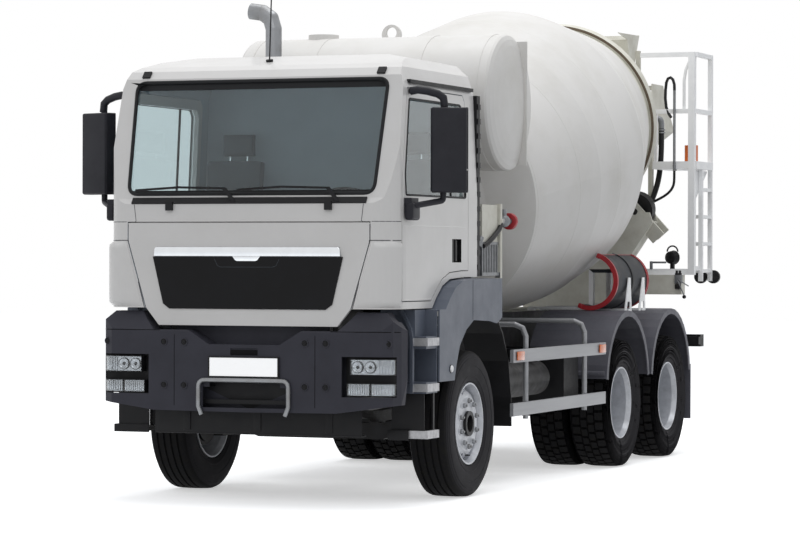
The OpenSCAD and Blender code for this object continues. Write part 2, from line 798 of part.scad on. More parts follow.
module rear_pedestal() {
    color(cream) difference() {
        union() {
            mirrored() {
                for (y = [pedestal_y[0], pedestal_y[1] - 20]) front_plate(y, y + 20, pedestal_half);
                front_plate(pedestal_y[0], pedestal_y[1],
                    strip([[rail_x, subframe_top], [600, 1700], [860, 2080]], 16));
                // Lug behind each roller
                block([590, pedestal_y[1] - 10, 1960], [622, 6040, 2080]);
            }
            block([-rail_x, pedestal_y[0], subframe_top], [rail_x, pedestal_y[1], subframe_top + 16]);
            at_rollers() for (z = [-90, 70]) block([-50, -70, z], [330, 70, z + 20]);
        }
        on_drum_axis() translate([0, 0, ring_s - 600]) cylinder(h = 1200, r = ring_r + 25);
        at_rollers() cylinder(h = 136, r = roller_r + 12, center = true);
        mirrored() block([funnel_half_w - 41, pedestal_y[1], 2080], [funnel_half_w + 1, 6100, 2160]);
        at_rollers() cylinder(h = 300, r = roller_pin_r + seat, center = true);
        mirrored() translate([580, 6005, 2030]) rotate([0, 90, 0]) cylinder(h = 60, r = 25);
    }
}

module water_tank() {
    dish = 90;
    color(white) {
        translate([0, tank_y, tank_z]) rotate([0, 90, 0]) rotate_extrude($fn = 64) polygon(concat(
            [[0, -tank_half]],
            [for (i = [1 : 8]) [tank_r * sin(i * 11.25), -tank_half + dish - dish * cos(i * 11.25)]],
            [for (i = [8 : -1 : 1]) [tank_r * sin(i * 11.25), tank_half - dish + dish * cos(i * 11.25)]],
            [[0, tank_half]]));
        // Upright flange on each dished end
        mirrored() block([tank_half - dish, tank_y + 175, tank_z - tank_r + 45], [tank_half + 14, tank_y + 190,
            tank_z + tank_r - 45]);
        // Lifting eye and filler
        difference() {
            union() {
                block([-80, tank_y + 180, tank_z + 470], [80, tank_y + 210, tank_z + 520]);
                translate([0, tank_y + 210, tank_z + 560]) rotate([90, 0, 0]) cylinder(h = 30, r = 80);
            }
            translate([0, tank_y + 220, tank_z + 575]) rotate([90, 0, 0]) cylinder(h = 50, r = 45);
        }
        translate([-500, tank_y, tank_z + tank_r - 15]) cylinder(h = 45, r = 120);
    }
    color(cream) difference() {
        // Posts that carry the tank
        mirrored() {
            for (y = [960, 1370]) block([470, y, subframe_top], [540, y + 70, 2700]);
            block([462, 900, 2380], [548, 1520, 2600]);
            block([rail_x - 70, 940, subframe_top], [560, 1460, subframe_top + 30]);
        }
        translate([0, tank_y, tank_z]) x_cylinder(-700, 700, tank_r + seat);
    }
}

module air_intake() {
    color(black) {
        block([870, cab_rear + seat, 1620], [cab_half_w - 5, cab_rear + 70, 2950]);
        for (i = [0 : 11]) block([cab_half_w - 5, cab_rear + 8, 1660 + i * 108], [cab_half_w + 4,
            cab_rear + 62, 1700 + i * 108]);
    }
}

// Cooler, valve and pipes between the cab and the drum, on the left
module water_gear() {
    color("#8d9192") {
        block([900, 480, 1615], [1090, 860, 1640]);
        for (i = [0 : 9]) block([925, 490 + i * 37, 1640], [1085, 508 + i * 37, 1850]);
        block([925, 480, 1850], [1085, 860, 1870]);
        block([rail_x + seat, 600, 1250], [900, 660, 1290]);
        block([900, 600, 1250], [960, 660, 1615]);
    }
    color(cream) {
        block([1000, 500, 1870], [1080, 850, 2150]);
        block([1060, 862, 1560], [1100, 902, 2160]);
        block([1060, 860, 1600], [1100, 863, 1640]);
    }
    color(silver) {
        rod([1080, 882, 2030], [1080, 1110, 2030], 26);
        translate([1080, 1000, 2030]) sphere(48);
        rod([1080, 1000, 2030], [1080, 1000, 2120], 20);
        rod([1080, 480, 1900], [1080, 420, 1830], 22);
    }
    color("#b3262a") rod([1080, 1110, 2030], [1080, 1150, 2030], 58);
}

hopper_front = [[6000, 3835], [6290, 3790], [6345, 3640]];
hopper_rear = [[6680, 3850], [6450, 3430], [6160, 3200]];
hopper_t = 8;
hopper_half_w = 450;

module hopper() {
    color(cream) {
        side_plate(-hopper_half_w, hopper_half_w, strip([hopper_front[1], hopper_front[2]], hopper_t));
        side_plate(-hopper_half_w, hopper_half_w, strip([hopper_rear[0], hopper_rear[1]], -hopper_t));
        // Tongue into the drum's mouth
        side_plate(-300, 300, strip([hopper_rear[1], hopper_rear[2]], -hopper_t));
        mirrored() side_plate(hopper_half_w - hopper_t, hopper_half_w, [hopper_front[0], hopper_rear[0],
            hopper_rear[1], hopper_front[2], hopper_front[1]]);
        // Frame that carries the hopper on the funnel
        mirrored() block([hopper_half_w, 6560, 3330], [hopper_half_w + 40, 6600, 3700]);
        mirrored() block([hopper_half_w, 6560, 3330], [funnel_half_w - hopper_t - seat, 6600, 3370]);
    }
}

funnel_half_w = 680;
funnel_side = [[6330, 3375], [6700, 3375], [6800, 3225], [7060, 2980], [6830, 2480], [6480, 2480], [6330,
    2700]];
funnel_front = [[-680, 3400], [680, 3400], [680, 2950], [210, 2530], [210, 2400], [-210, 2400], [-210,
    2530],
    [-680, 2950]];

module funnel_form(inset) {
    intersection() {
        translate([-700, 0, 0]) rotate([90, 0, 90]) linear_extrude(1400) offset(delta = -inset)
            polygon(funnel_side);
        translate([0, 7200, 0]) rotate([90, 0, 0]) linear_extrude(1000) offset(delta = -inset)
            polygon(funnel_front);
    }
}

module discharge_funnel() {
    color(cream) {
        difference() {
            funnel_form(0);
            funnel_form(hopper_t);
            // Open towards the drum, at the top and at the spout
            intersection() {
                translate([0, 7200, 0]) rotate([90, 0, 0]) linear_extrude(1000) offset(delta = -hopper_t)
                    polygon(funnel_front);
                union() {
                    block([-700, 6200, 2300], [700, 6420, 3500]);
                    block([-700, 6200, 3300], [700, 6780, 3500]);
                    block([-202, 6490, 2400], [202, 6815, 2560]);
                }
            }
            on_drum_axis() translate([0, 0, 4000]) cylinder(h = 765, r = 650);
        }
        // Arms to the rear pedestal
        mirrored() block([funnel_half_w - 40, pedestal_y[1] + seat, 2090], [funnel_half_w, 6390, 2150]);
        mirrored() block([funnel_half_w - 40, 6340, 2100], [funnel_half_w, 6390, 3000]);
    }
}

ladder_x = 1180;
post_y = 6030;
ladder_y = [6210, 6530];
platform_z = [2570, 2640];
rail_top = 3640;

module platform() {
    color("#d9dadb") {
        // Floor, post and its foot on the pedestal
        block([780, post_y - 20, platform_z[0]], [ladder_x + 25, ladder_y[1] + 25, platform_z[1]]);
        block([funnel_half_w + seat, 6345, platform_z[0] + 10], [780, 6385, platform_z[1] - 10]);
        block([ladder_x - 60, post_y - 30, 1600], [ladder_x, post_y + 30, rail_top]);
        block([500, post_y - 25, 1600], [ladder_x - 60, post_y + 25, 1655]);
        block([500, pedestal_y[1] + seat, 1600], [560, post_y - 25, 1655]);
        // Ladder
        for (y = ladder_y) block([ladder_x - 15, y - 15, 1540], [ladder_x + 25, y + 15, platform_z[0]]);
        for (i = [0 : 3]) block([ladder_x - 12, ladder_y[0], 1620 + i * 250], [ladder_x + 22,
            ladder_y[1], 1650 + i * 250]);
        block([ladder_x - 40, post_y + 30, 1640], [ladder_x, ladder_y[0] - 15, 1680]);
        // Railing
        block([ladder_x - 15, ladder_y[1] - 20, platform_z[1]], [ladder_x + 25, ladder_y[1] + 20,
            rail_top]);
        block([ladder_x - 20, post_y, rail_top - 40], [ladder_x + 20, ladder_y[1], rail_top]);
        block([660, post_y - 20, rail_top - 40], [ladder_x, post_y + 20, rail_top]);
        block([ladder_x - 20, post_y, 3080], [ladder_x + 20, ladder_y[1], 3120]);
        block([790, post_y - 20, 3080], [ladder_x, post_y + 20, 3120]);
        block([790, post_y - 15, platform_z[1]], [820, post_y + 15, 3120]);
    }
    color(black) for (x = [1090, 1210])
        translate([x, ladder_y[1] + 50, 1580]) rotate([90, 0, 0]) cylinder(h = 35, r = 62);
    color("#d8691c") translate([1110, post_y + 120, platform_z[1]]) cylinder(h = 150, r = 62);
    color("#8d9192") block([720, post_y - 100, 1420], [1080, post_y + 20, 1600]);
}

// Two spare half-round chutes on the left, hollow side inwards and turned a little down
store_x = 940;
store_z = 1556;
store_y = [3620, 4520];
store_r = 238;
store_turn = 21;
store_rod_r = 14;

module half_pipe(r) {
    long = store_y[1] - store_y[0];
    difference() {
        rotate([-90, 0, 0]) cylinder(h = long, r = r);
        translate([0, -1, 0]) rotate([-90, 0, 0]) cylinder(h = long + 2, r = r - 5);
        block([-300, -2, -300], [0, long + 2, 300]);
    }
}

module extension_chutes() {
    translate([store_x, store_y[0], store_z]) rotate([0, store_turn, 0]) {
        color(dark) for (r = [store_r, store_r - 22]) half_pipe(r);
        color("#b3262a") for (s = [-1, 1]) rod([-4, -10, s * (store_r - 12)],
            [-4, store_y[1] - store_y[0] + 10, s * (store_r - 12)], store_rod_r);
    }
    color("#d9dadb") for (y = [3800, 4300]) {
        block([rail_x - 60, y, subframe_top + seat], [rail_x, y + 45, 1334]);
        block([rail_x, y, 1314], [store_x - 30, y + 45, 1334]);
        block([store_x - 70, y, 1314], [store_x - 30, y + 45, store_z + 100]);
        block([store_x - 40, y, store_z + 70], [store_x + 200, y + 45, store_z + 100]);
    }
}

// Swivelling chute, drawn where it stands behind the vehicle
chute_pin_r = 15;
// Axis of the pipe above the chute's pin
pipe_lift = chute_r + 55;

module chute_arm() {
    color(cream) translate([0, swing_y, 0]) difference() {
        union() {
            translate([0, 0, swing_bearing_z[0]]) cylinder(h = 300, r = swing_pin_r);
            translate([0, 0, swing_bearing_z[1] + 5]) cylinder(h = 50, r = 80);
            translate([0, 0, swing_bearing_z[1] + 5]) cylinder(h = 600, r = 50);
            block([-85, -50, 1880], [85, 50, 1910]);
            mirrored() {
                block([62, -45, 1880], [85, 45, chute_pin_z]);
                translate([0, 0, chute_pin_z]) x_cylinder(62, 85, 45);
            }
        }
        translate([0, 0, chute_pin_z]) x_cylinder(-100, 100, chute_pin_r + bearing_gap);
    }
}

module chute() {
    color(cream) translate([0, swing_y, chute_pin_z]) rotate([-chute_slope, 0, 0]) {
        difference() {
            translate([0, -230, pipe_lift]) rotate([-90, 0, 0]) cylinder(h = chute_len, r = chute_r);
            translate([0, -231, pipe_lift]) rotate([-90, 0, 0]) cylinder(h = chute_len + 2,
                r = chute_r - 6);
            block([-300, -240, pipe_lift], [300, chute_len, pipe_lift + chute_r + 10]);
        }
        // Lug on the arm's pin, and the rolled edges
        mirrored() block([30, -40, 0], [56, 60, 80]);
        mirrored() x_cylinder(30, 56, 40);
        x_cylinder(-88, 88, chute_pin_r);
        mirrored() rod([chute_r - 4, -230, pipe_lift], [chute_r - 4, chute_len - 230, pipe_lift], 12);
    }
}

// Free hoses at the rear
drain_route = [[funnel_half_w + seat, 6480, 3060], [702, 6480, 3060], [720, 6478, 3040], [728, 6476,
    3000], [730, 6470, 2800],
    [728, 6450, 2600], [722, 6400, 2450], [708, 6330, 2330], [685, 6260, 2240], [664, 6226, 2205], [660,
        6220, 2182],
    [660, 6220, 2150 + seat]];
wash_route = [[840, 6100, platform_z[0] - seat], [840, 6100, 2500], [832, 6097, 2430], [800, 6090, 2350],
    [745, 6080, 2285], [695, 6070, 2240], [665, 6062, 2205], [660, 6060, 2180], [660, 6060, 2150 + seat]];

module drain_hose() { color(black) bent_tube(drain_route, 26, [1, 0.2, 0], 8); }
module wash_hose() { color(black) bent_tube(wash_route, 12, [1, 0.2, 0], 8); }

// Cab: one outline for each view, hollowed by insets of the same form

corner_r = 200;
cab_half_plan = concat([[0, cab_front], [700, cab_front]],
    arc([cab_half_w - corner_r, cab_front + corner_r], corner_r, -90, 0, 8), [[cab_half_w, cab_rear], [0,
        cab_rear]]);
cab_half_front = [[0, cab_bottom], [cab_half_w, cab_bottom], [cab_half_w, 2200], [cab_half_w - 35, 2960],
    [cab_half_w - 75, 3090], [cab_half_w - 160, 3170], [750, 3212], [0, cab_top]];
cab_side = [[cab_front, cab_bottom], [cab_front, 2125], [-1362, 2165], [-1140, 3030], [-1090, 3085],
    [-1000, 3122],
    [-600, 3212], [-300, cab_top], [200, cab_top], [255, 3185], [cab_rear, 3100], [cab_rear, cab_bottom]];
// Cut over a front wheel, and the tunnel over the engine
arch_side = [[-665, 1300], [-665, 1392], [-585, 1462], [-456, 1548], [-305, 1594], [-50, 1608], [400,
    1608], [400, 1300]];
tunnel = [[-430, -1130, 1300], [430, 400, 1570]];

function both_sides(half) = concat(half, [for (i = [len(half) - 1 : -1 : 0]) [-half[i][0], half[i][1]]]);

module cab_envelope(inset) {
    intersection() {
        translate([0, 0,
            1000]) linear_extrude(2500) offset(delta = -inset) polygon(both_sides(cab_half_plan));
        translate([0, 500, 0]) rotate([90, 0, 0]) linear_extrude(2200) offset(delta = -inset)
            polygon(both_sides(cab_half_front));
        translate([-1300, 0, 0]) rotate([90, 0,
            90]) linear_extrude(2600) offset(delta = -inset) polygon(cab_side);
    }
}

module cab_form(inset) {
    difference() {
        cab_envelope(inset);
        mirrored() translate([700 - inset, 0, 0]) rotate([90, 0, 90]) linear_extrude(600)
            offset(delta = inset) polygon(arch_side);
        block(tunnel[0] - [inset, inset, 0], tunnel[1] + [inset, inset, inset]);
    }
}

// Door and window outlines in the side view
door_edge = [[-1241, 1446], [-690, 1446], [-600, 1512], [-466, 1598], [-310, 1645], [-50, 1658], [82, 1658],
    [82, 2890], [40, 2936], [-1082, 2936], [-1241, 2315]];
door_window = [[-1190, 2190], [25, 2190], [25, 2810], [-20, 2862], [-1052, 2862], [-1190, 2330]];
screen_edge = [[-950, 2190], [950, 2190], [978, 3012], [-978, 3012]];
screen_round = 70;
flap_t = 25;
flap_top = 1992;
flap_half = [[0, 1267], [685, 1267], [785, 1390], [925, 1865], [925, flap_top], [0, flap_top]];
flap_hinge = [0, cab_front + 7, flap_top - 6];
flap_pin_r = 4;
flap_pin_x = 944;
flap_gap = 8.5;

module side_prism(points, grow) {
    translate([500, 0, 0]) rotate([90, 0, 90]) linear_extrude(900) offset(delta = grow) polygon(points);
}

module screen_prism(grow) {
    translate([0, -900, 0]) rotate([90, 0,
        0]) linear_extrude(700) offset(delta = grow) offset(r = screen_round, $fn = 32)
        offset(delta = -screen_round) polygon(screen_edge);
}

module flap_prism(grow) {
    translate([0, cab_front + 300, 0]) rotate([90, 0, 0]) linear_extrude(400) offset(delta = grow)
        polygon(both_sides(flap_half));
}

pivot_pin_r = 10;

module cab_shell() {
    color(white) {
        difference() {
            cab_form(0);
            cab_form(cab_wall);
            difference() {
                mirrored() side_prism(door_edge, shut_gap);
                cab_envelope(door_t + shut_gap);
            }
            screen_prism(0);
            intersection() {
                flap_prism(flap_gap);
                block([-1100, cab_front - 50, 1300], [1100, cab_front + flap_t + 7, 2100]);
            }
            translate(flap_hinge) x_cylinder(-flap_pin_x - 1, flap_pin_x + 1, flap_pin_r + bearing_gap);
        }
        // Lugs on the tilting pins
        mirrored() difference() {
            union() {
                block([650, cab_pivot_y - 15, cab_pivot_z], [690, cab_pivot_y + 15, cab_bottom + 2]);
                translate([0, cab_pivot_y, cab_pivot_z]) x_cylinder(650, 690, 15);
            }
            translate([0, cab_pivot_y, cab_pivot_z]) x_cylinder(600, 700, pivot_pin_r + bearing_gap);
        }
    }
}

// Brackets on the frame that carry the cab's tilting pins
module cab_mounts() {
    color(dark) {
        mirrored() {
            side_plate(600, 640, [[cab_pivot_y - 7, cab_pivot_z - 14], [cab_pivot_y - 13, cab_pivot_z - 6],
                [cab_pivot_y - 13, cab_pivot_z + 6], [cab_pivot_y - 7, cab_pivot_z + 13], [-1190,
                    cab_pivot_z + 14], [-1190, 900], [-1255, 900], [-1255, cab_pivot_z - 14]]);
            translate([0, cab_pivot_y, cab_pivot_z]) x_cylinder(600, 688, pivot_pin_r);
            block([rail_x + seat, -1255, 900], [640, -1190, 1000]);
            // Rear mount
            block([450, 120, frame_top - 90], [500, 190, cab_bottom - 8]);
            block([rail_x + seat, 120, frame_top - 90], [500, 190, frame_top - 20]);
        }
        block([-500, 120, cab_bottom - 50], [500, 190, cab_bottom - 8]);
    }
}

module cab_interior() {
    floor_z = cab_bottom + cab_wall + seat;
    color("#3a3b3f") {
        mirrored() {
            block([665, -420, 1653 + seat], [900, -110, 1760]);
            block([450, -600, 1760], [950, -100, 1890]);
            side_plate(470, 930, [[-170, 1890], [-20, 2480], [60, 2480], [-40, 1890]]);
            side_plate(570, 830, [[-5, 2500], [15, 2680], [85, 2680], [60, 2480], [-20, 2480]]);
        }
        // Dashboard
        side_plate(-1000, 1000, [[-1300, 1700], [-1300, 2130], [-1100, 2150], [-960, 2060], [-930, 1880],
            [-1050, 1700]]);
        block([-1000, -1300, floor_z], [1000, -1250, 1700]);
        // Steering wheel and column
        translate([560, -790, 2120]) rotate([-32, 0, 0]) {
            rotate_extrude() translate([215, 0]) circle(16);
            for (a = [90, 210, 330]) rotate([0, 0, a]) translate([30, -14, -8]) cube([180, 28, 14]);
            cylinder(h = 40, r = 60, center = true);
            translate([0, 0, -330]) cylinder(h = 320, r = 32);
        }
        // Bunk along the rear wall
        block([-1000, 90, 1760], [1000, cab_rear - cab_wall - seat, 1900]);
        mirrored() block([900, 90, 1653 + seat], [980, cab_rear - cab_wall - seat, 1760]);
    }
}

module windscreen() {
    color("#6f7f84") intersection() {
        difference() {
            cab_envelope(12);
            cab_envelope(12 + glass_t);
        }
        screen_prism(-seat);
    }
}

// Marker lamp on the roof's front edge, and the slope it sits on
marker_t = 14;
marker_edge = [[-1135, 3035.5], [-1095, 3079.5]];
// Gutter along the cab's side, over the door
gutter = [[1081, 2975], [1102, 2975], [1102, 3000], [1073.3, 3000]];
antenna_foot = [-70, -840, 3158.5];
roof_slope = atan2(90, 400);

module cab_trim() {
    color(black) {
        // Band along the foot of the windscreen, its two tabs, and the two wipers
        side_plate(-900, 900, [[-1390.4, 2125.3], [-1362.4, 2165.3], [-1372, 2172], [-1400, 2132]]);
        for (x = [-600, 620]) block([x - 26, cab_front - 24, 2080], [x + 26, cab_front - seat, 2140]);
        for (x = [-100, 690]) translate([x, 0, 0]) {
            front_plate(-1398, -1383, [[-14, 2138], [12, 2142], [-66, 2242], [-88, 2228]]);
            front_plate(-1396, -1384, [[-70, 2226], [-430, 2236], [-770, 2216], [-770, 2232], [-430, 2252],
                [-70, 2242]]);
        }
        mirrored() {
            front_plate(-1060, 240, gutter);
            out = unit([marker_edge[0][1] - marker_edge[1][1], marker_edge[1][0] - marker_edge[0][0]]);
            side_plate(880, 940, [for (p = [[0, 0.4], [1, 0.4], [1, marker_t], [0, marker_t]])
                marker_edge[p[0]] + p[1] * out]);
        }
        translate(antenna_foot) rotate([roof_slope, 0, 0]) cylinder(h = 16, r = 26);
        rod(antenna_foot + [0, -2, 8], [-66, -820, 3640], 5);
    }
}

module front_flap() {
    color(white) {
        intersection() {
            block([-1100, cab_front, 1200], [1100, cab_front + flap_t, 2000]);
            flap_prism(0);
        }
        // Hinge pins
        mirrored() translate(flap_hinge) x_cylinder(flap_half[3][0] - 10, flap_pin_x, flap_pin_r);
    }
}

grille_half = [[0, 1384], [600, 1384], [650, 1420], [730, 1753], [0, 1753]];

module grille() {
    color(black) front_plate(cab_front - 7, cab_front - seat, both_sides(grille_half));
    color(silver) front_plate(cab_front - 14, cab_front - seat, both_sides([[0, 1754], [715, 1754], [705,
        1822], [0, 1822]]));
}

module door_panel() {
    difference() {
        intersection() {
            difference() {
                cab_envelope(0);
                cab_envelope(door_t);
            }
            side_prism(door_edge, 0);
        }
        side_prism(door_window, 0);
        // Nothing of the sill behind the door's lower edge
        block([400, -1300, 1400], [cab_half_w - door_t, 200, 1500]);
        // Handle recess
        block([cab_half_w - 40, -255, 1715], [cab_half_w + 10, -60, 1885]);
    }
    block([cab_half_w - 40.5, -175, 1725], [cab_half_w - 4, -145, 1875]);
}

module door_glass() {
    intersection() {
        difference() {
            cab_envelope(20);
            cab_envelope(20 + glass_t);
        }
        side_prism(door_window, -seat);
    }
}

mirror_x = 1360;
mirror_y = -960;

module mirror_set() {
    color(dark) {
        translate([mirror_x, mirror_y, 0]) rotate([0, 0, 20]) {
            block([-125, -55, 2370], [125, 25, 2800]);
            block([-125, -55, 2205], [125, 25, 2360]);
            block([-20, -45, 2350], [20, 15, 2380]);
        }
        bent_tube(rounded([[cab_half_w - 30, -1050, 2915], [cab_half_w + 50, -1050, 2925],
            [mirror_x - 30, -985, 2870],
            [mirror_x - 30, -985, 2790]], 30, 4), 17, [0, 1, 0.3], 12);
        bent_tube(rounded([[cab_half_w + 20, -1170, 2110], [cab_half_w + 70, -1150, 2115],
            [mirror_x - 40, -985, 2150],
            [mirror_x - 40, -985, 2215]], 24, 4), 22, [0, 1, 0.3], 12);
        block([cab_half_w + seat, -1225, 2060], [cab_half_w + 55, -1090, 2165]);
    }
}

module door_left() { color(white) door_panel(); }
module door_right() { mirror([1, 0, 0]) door_left(); }
module door_glass_left() { color("#6f7f84") door_glass(); }
module door_glass_right() { mirror([1, 0, 0]) door_glass_left(); }
module mirrors_left() { mirror_set(); }
module mirrors_right() { mirror([1, 0, 0]) mirror_set(); }

module tyre_front_left() { at_wheel("left", front_tyre_x, 0) tyre(); }
module tyre_front_right() { at_wheel("right", front_tyre_x, 0) tyre(); }
module tyres_middle_left() { at_wheel("left", twin_x, middle_axle) twin_tyres(); }
module tyres_middle_right() { at_wheel("right", twin_x, middle_axle) twin_tyres(); }
module tyres_rear_left() { at_wheel("left", twin_x, rear_axle) twin_tyres(); }
module tyres_rear_right() { at_wheel("right", twin_x, rear_axle) twin_tyres(); }
module rim_front_left() { at_wheel("left", front_tyre_x, 0) front_rim(); }
module rim_front_right() { at_wheel("right", front_tyre_x, 0) front_rim(); }
module rims_middle_left() { at_wheel("left", twin_x, middle_axle) twin_rims(); }
module rims_middle_right() { at_wheel("right", twin_x, middle_axle) twin_rims(); }
module rims_rear_left() { at_wheel("left", twin_x, rear_axle) twin_rims(); }
module rims_rear_right() { at_wheel("right", twin_x, rear_axle) twin_rims(); }

// Everything is set back so that the origin lies under the middle of the vehicle
translate([0, -front_axle_ahead, 0]) {
    frame();
    bumper();
    bumper_step();
    lamps();
    number_plate();
    driveline();
    axles();
    leaf_springs();
    cab_mounts();
    front_fenders();
    rear_fenders();
    side_guards();
    battery_box();
    fuel_tank();
    air_tanks();
    exhaust_stack();
    air_intake();
    water_gear();
    subframe();
    drum_drive();
    water_tank();
    rear_pedestal();
    drum_rollers();
    hopper();
    discharge_funnel();
    platform();
    extension_chutes();
    drain_hose();
    wash_hose();
    knuckle_left();
    knuckle_right();
    tyre_front_left();
    tyre_front_right();
    tyres_middle_left();
    tyres_middle_right();
    tyres_rear_left();
    tyres_rear_right();
    rim_front_left();
    rim_front_right();
    rims_middle_left();
    rims_middle_right();
    rims_rear_left();
    rims_rear_right();
    cab_shell();
    cab_interior();
    windscreen();
    cab_trim();
    front_flap();
    grille();
    door_left();
    door_right();
    door_glass_left();
    door_glass_right();
    mirrors_left();
    mirrors_right();
    drum();
    chute_arm();
    chute();
}
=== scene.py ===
# %% [markdown]
# # A concrete mixer truck, dressed for a photograph
# The truck comes in as solids in metres: X is its left, the front faces -Y, Z is up and the
# ground is at zero. This lesson gives each solid its real finish, then models what solids
# leave out, such as tyre tread, lamps, bolts, seams and hoses, each in its own short cell.

# %% The frame
import math
import bpy
import bmesh
from mathutils import Matrix, Vector


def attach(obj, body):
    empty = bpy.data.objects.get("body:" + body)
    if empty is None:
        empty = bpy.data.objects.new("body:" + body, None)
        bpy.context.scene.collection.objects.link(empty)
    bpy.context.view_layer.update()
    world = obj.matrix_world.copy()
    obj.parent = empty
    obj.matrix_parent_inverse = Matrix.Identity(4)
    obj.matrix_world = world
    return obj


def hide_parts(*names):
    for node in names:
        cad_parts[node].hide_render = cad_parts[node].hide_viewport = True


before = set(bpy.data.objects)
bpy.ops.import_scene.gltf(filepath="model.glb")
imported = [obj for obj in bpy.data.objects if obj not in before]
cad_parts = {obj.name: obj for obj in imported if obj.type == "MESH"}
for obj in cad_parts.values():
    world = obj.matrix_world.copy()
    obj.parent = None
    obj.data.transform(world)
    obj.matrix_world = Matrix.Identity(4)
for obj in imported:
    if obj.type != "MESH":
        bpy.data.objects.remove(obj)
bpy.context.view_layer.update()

AHEAD = 2.910   # the front axle stands this far ahead of the origin
given = len(bpy.data.materials)   # materials that the solids come with

# %% [markdown]
# ## The camera
# The photograph was taken with a long lens from the front left, at about a standing person's
# height. Its place was worked out from the number plate, the tyres and the axles, so that the
# model falls on the photograph. A long lens keeps the parallel edges of the truck nearly parallel.

# %% Camera
IMAGE_WIDTH_PX, SENSOR_MM = 800, 36.0
LENS_PX = 3060.06   # the lens, measured in pixels of the photograph
camera_place = Vector((8.764, -21.077 - AHEAD, 1.743))
yaw, pitch, roll = 0.36887, -0.003757, 0.0025065   # in radians
forward = Vector((-math.sin(yaw) * math.cos(pitch), math.cos(yaw) * math.cos(pitch), math.sin(pitch)))
level = forward.cross(Vector((0, 0, 1))).normalized()
up = level.cross(forward)
right = level * math.cos(roll) + up * math.sin(roll)
up = up * math.cos(roll) - level * math.sin(roll)
camera_data = bpy.data.cameras.new("camera")
camera_data.sensor_width = SENSOR_MM
camera_data.lens = LENS_PX / IMAGE_WIDTH_PX * SENSOR_MM
camera_data.clip_end = 200
camera = bpy.data.objects.new("camera", camera_data)
bpy.context.scene.collection.objects.link(camera)
camera.matrix_world = Matrix((
    (right.x, up.x, -forward.x, camera_place.x),
    (right.y, up.y, -forward.y, camera_place.y),
    (right.z, up.z, -forward.z, camera_place.z),
    (0, 0, 0, 1)))
bpy.context.scene.camera = camera
bpy.context.scene.view_settings.view_transform = "Standard"
print("lens", round(camera_data.lens, 1), "mm")

# %% [markdown]
# ## Colours and nodes
# Paint codes are read as sRGB hex, but a renderer counts light, so one function turns them to
# linear values. One small function clears a node tree, and another adds a node with its links.

# %% Colour and node helpers
def paint_code(hex_code):
    parts = [int(hex_code[i:i + 2], 16) / 255 for i in (1, 3, 5)]
    return tuple(v / 12.92 if v <= 0.04045 else ((v + 0.055) / 1.055) ** 2.4 for v in parts) + (1.0,)


def emptied(owner):
    owner.use_nodes = True
    owner.node_tree.nodes.clear()
    return owner.node_tree


def add(tree, kind, values=None, links=None, **settings):
    made = tree.nodes.new(kind)
    for key, value in settings.items():
        setattr(made, key, value)
    for socket, value in (values or {}).items():
        made.inputs[socket].default_value = value
    for socket, source in (links or {}).items():
        tree.links.new(source, made.inputs[socket])
    return made


# %% [markdown]
# ## Finishes
# Nearly every surface here is painted, moulded or rolled. What the eye reads is a base colour
# that wanders a little (dust, thin paint, handling), a fine texture that catches light (orange
# peel in paint, grain in plastic, rolling marks in metal) and a gloss that is never quite even.
# One recipe mixes those three, with every size given in real millimetres.

# %% The recipe for an opaque finish
def finish(name, colour, second=None, patch_mm=180, share=0.35, rough=0.4, rough_swing=0.08,
           metallic=0.0, grain_mm=3.0, grain_height_mm=0.02, stretch=(1, 1, 1), coat=0.0, ior=1.5):
    """Two colours in patches, an uneven gloss and a fine grain. The second colour covers a share."""
    material = bpy.data.materials.new(name)
    tree = emptied(material)
    place = add(tree, "ShaderNodeTexCoord").outputs["Object"]
    flow = add(tree, "ShaderNodeMapping", {"Scale": stretch}, {"Vector": place}).outputs["Vector"]
    patches = add(tree, "ShaderNodeTexNoise", {"Scale": 1000 / patch_mm, "Detail": 5.0, "Roughness": 0.62},
                  {"Vector": flow})
    grain = add(tree, "ShaderNodeTexNoise", {"Scale": 1000 / grain_mm, "Detail": 2.0}, {"Vector": flow})
    spread = add(tree, "ShaderNodeMapRange", {"From Min": 0.42, "From Max": 0.72, "To Max": share},
                 {"Value": patches.outputs["Fac"]})
    # In a colour mix the inputs 6 and 7 are the two colours, and 0 is the share of the second
    tint = add(tree, "ShaderNodeMix", {6: paint_code(colour), 7: paint_code(second or colour)},
               {0: spread.outputs["Result"]}, data_type="RGBA")
    gloss = add(tree, "ShaderNodeMapRange",
                {"From Min": 0.3, "From Max": 0.7,
                 "To Min": max(rough - rough_swing, 0.02), "To Max": rough + rough_swing},
                {"Value": patches.outputs["Fac"]})
    bump = add(tree, "ShaderNodeBump", {"Strength": 0.5, "Distance": grain_height_mm / 1000},
               {"Height": grain.outputs["Fac"]})
    shader = add(tree, "ShaderNodeBsdfPrincipled",
                 {"Metallic": metallic, "Coat Weight": coat, "Coat Roughness": 0.06},
                 {"Base Color": tint.outputs[2], "Roughness": gloss.outputs["Result"],
                  "Normal": bump.outputs["Normal"]})
    if metallic < 0.5:
        shader.inputs["IOR"].default_value = ior
    add(tree, "ShaderNodeOutputMaterial", links={"Surface": shader.outputs["BSDF"]})
    return material


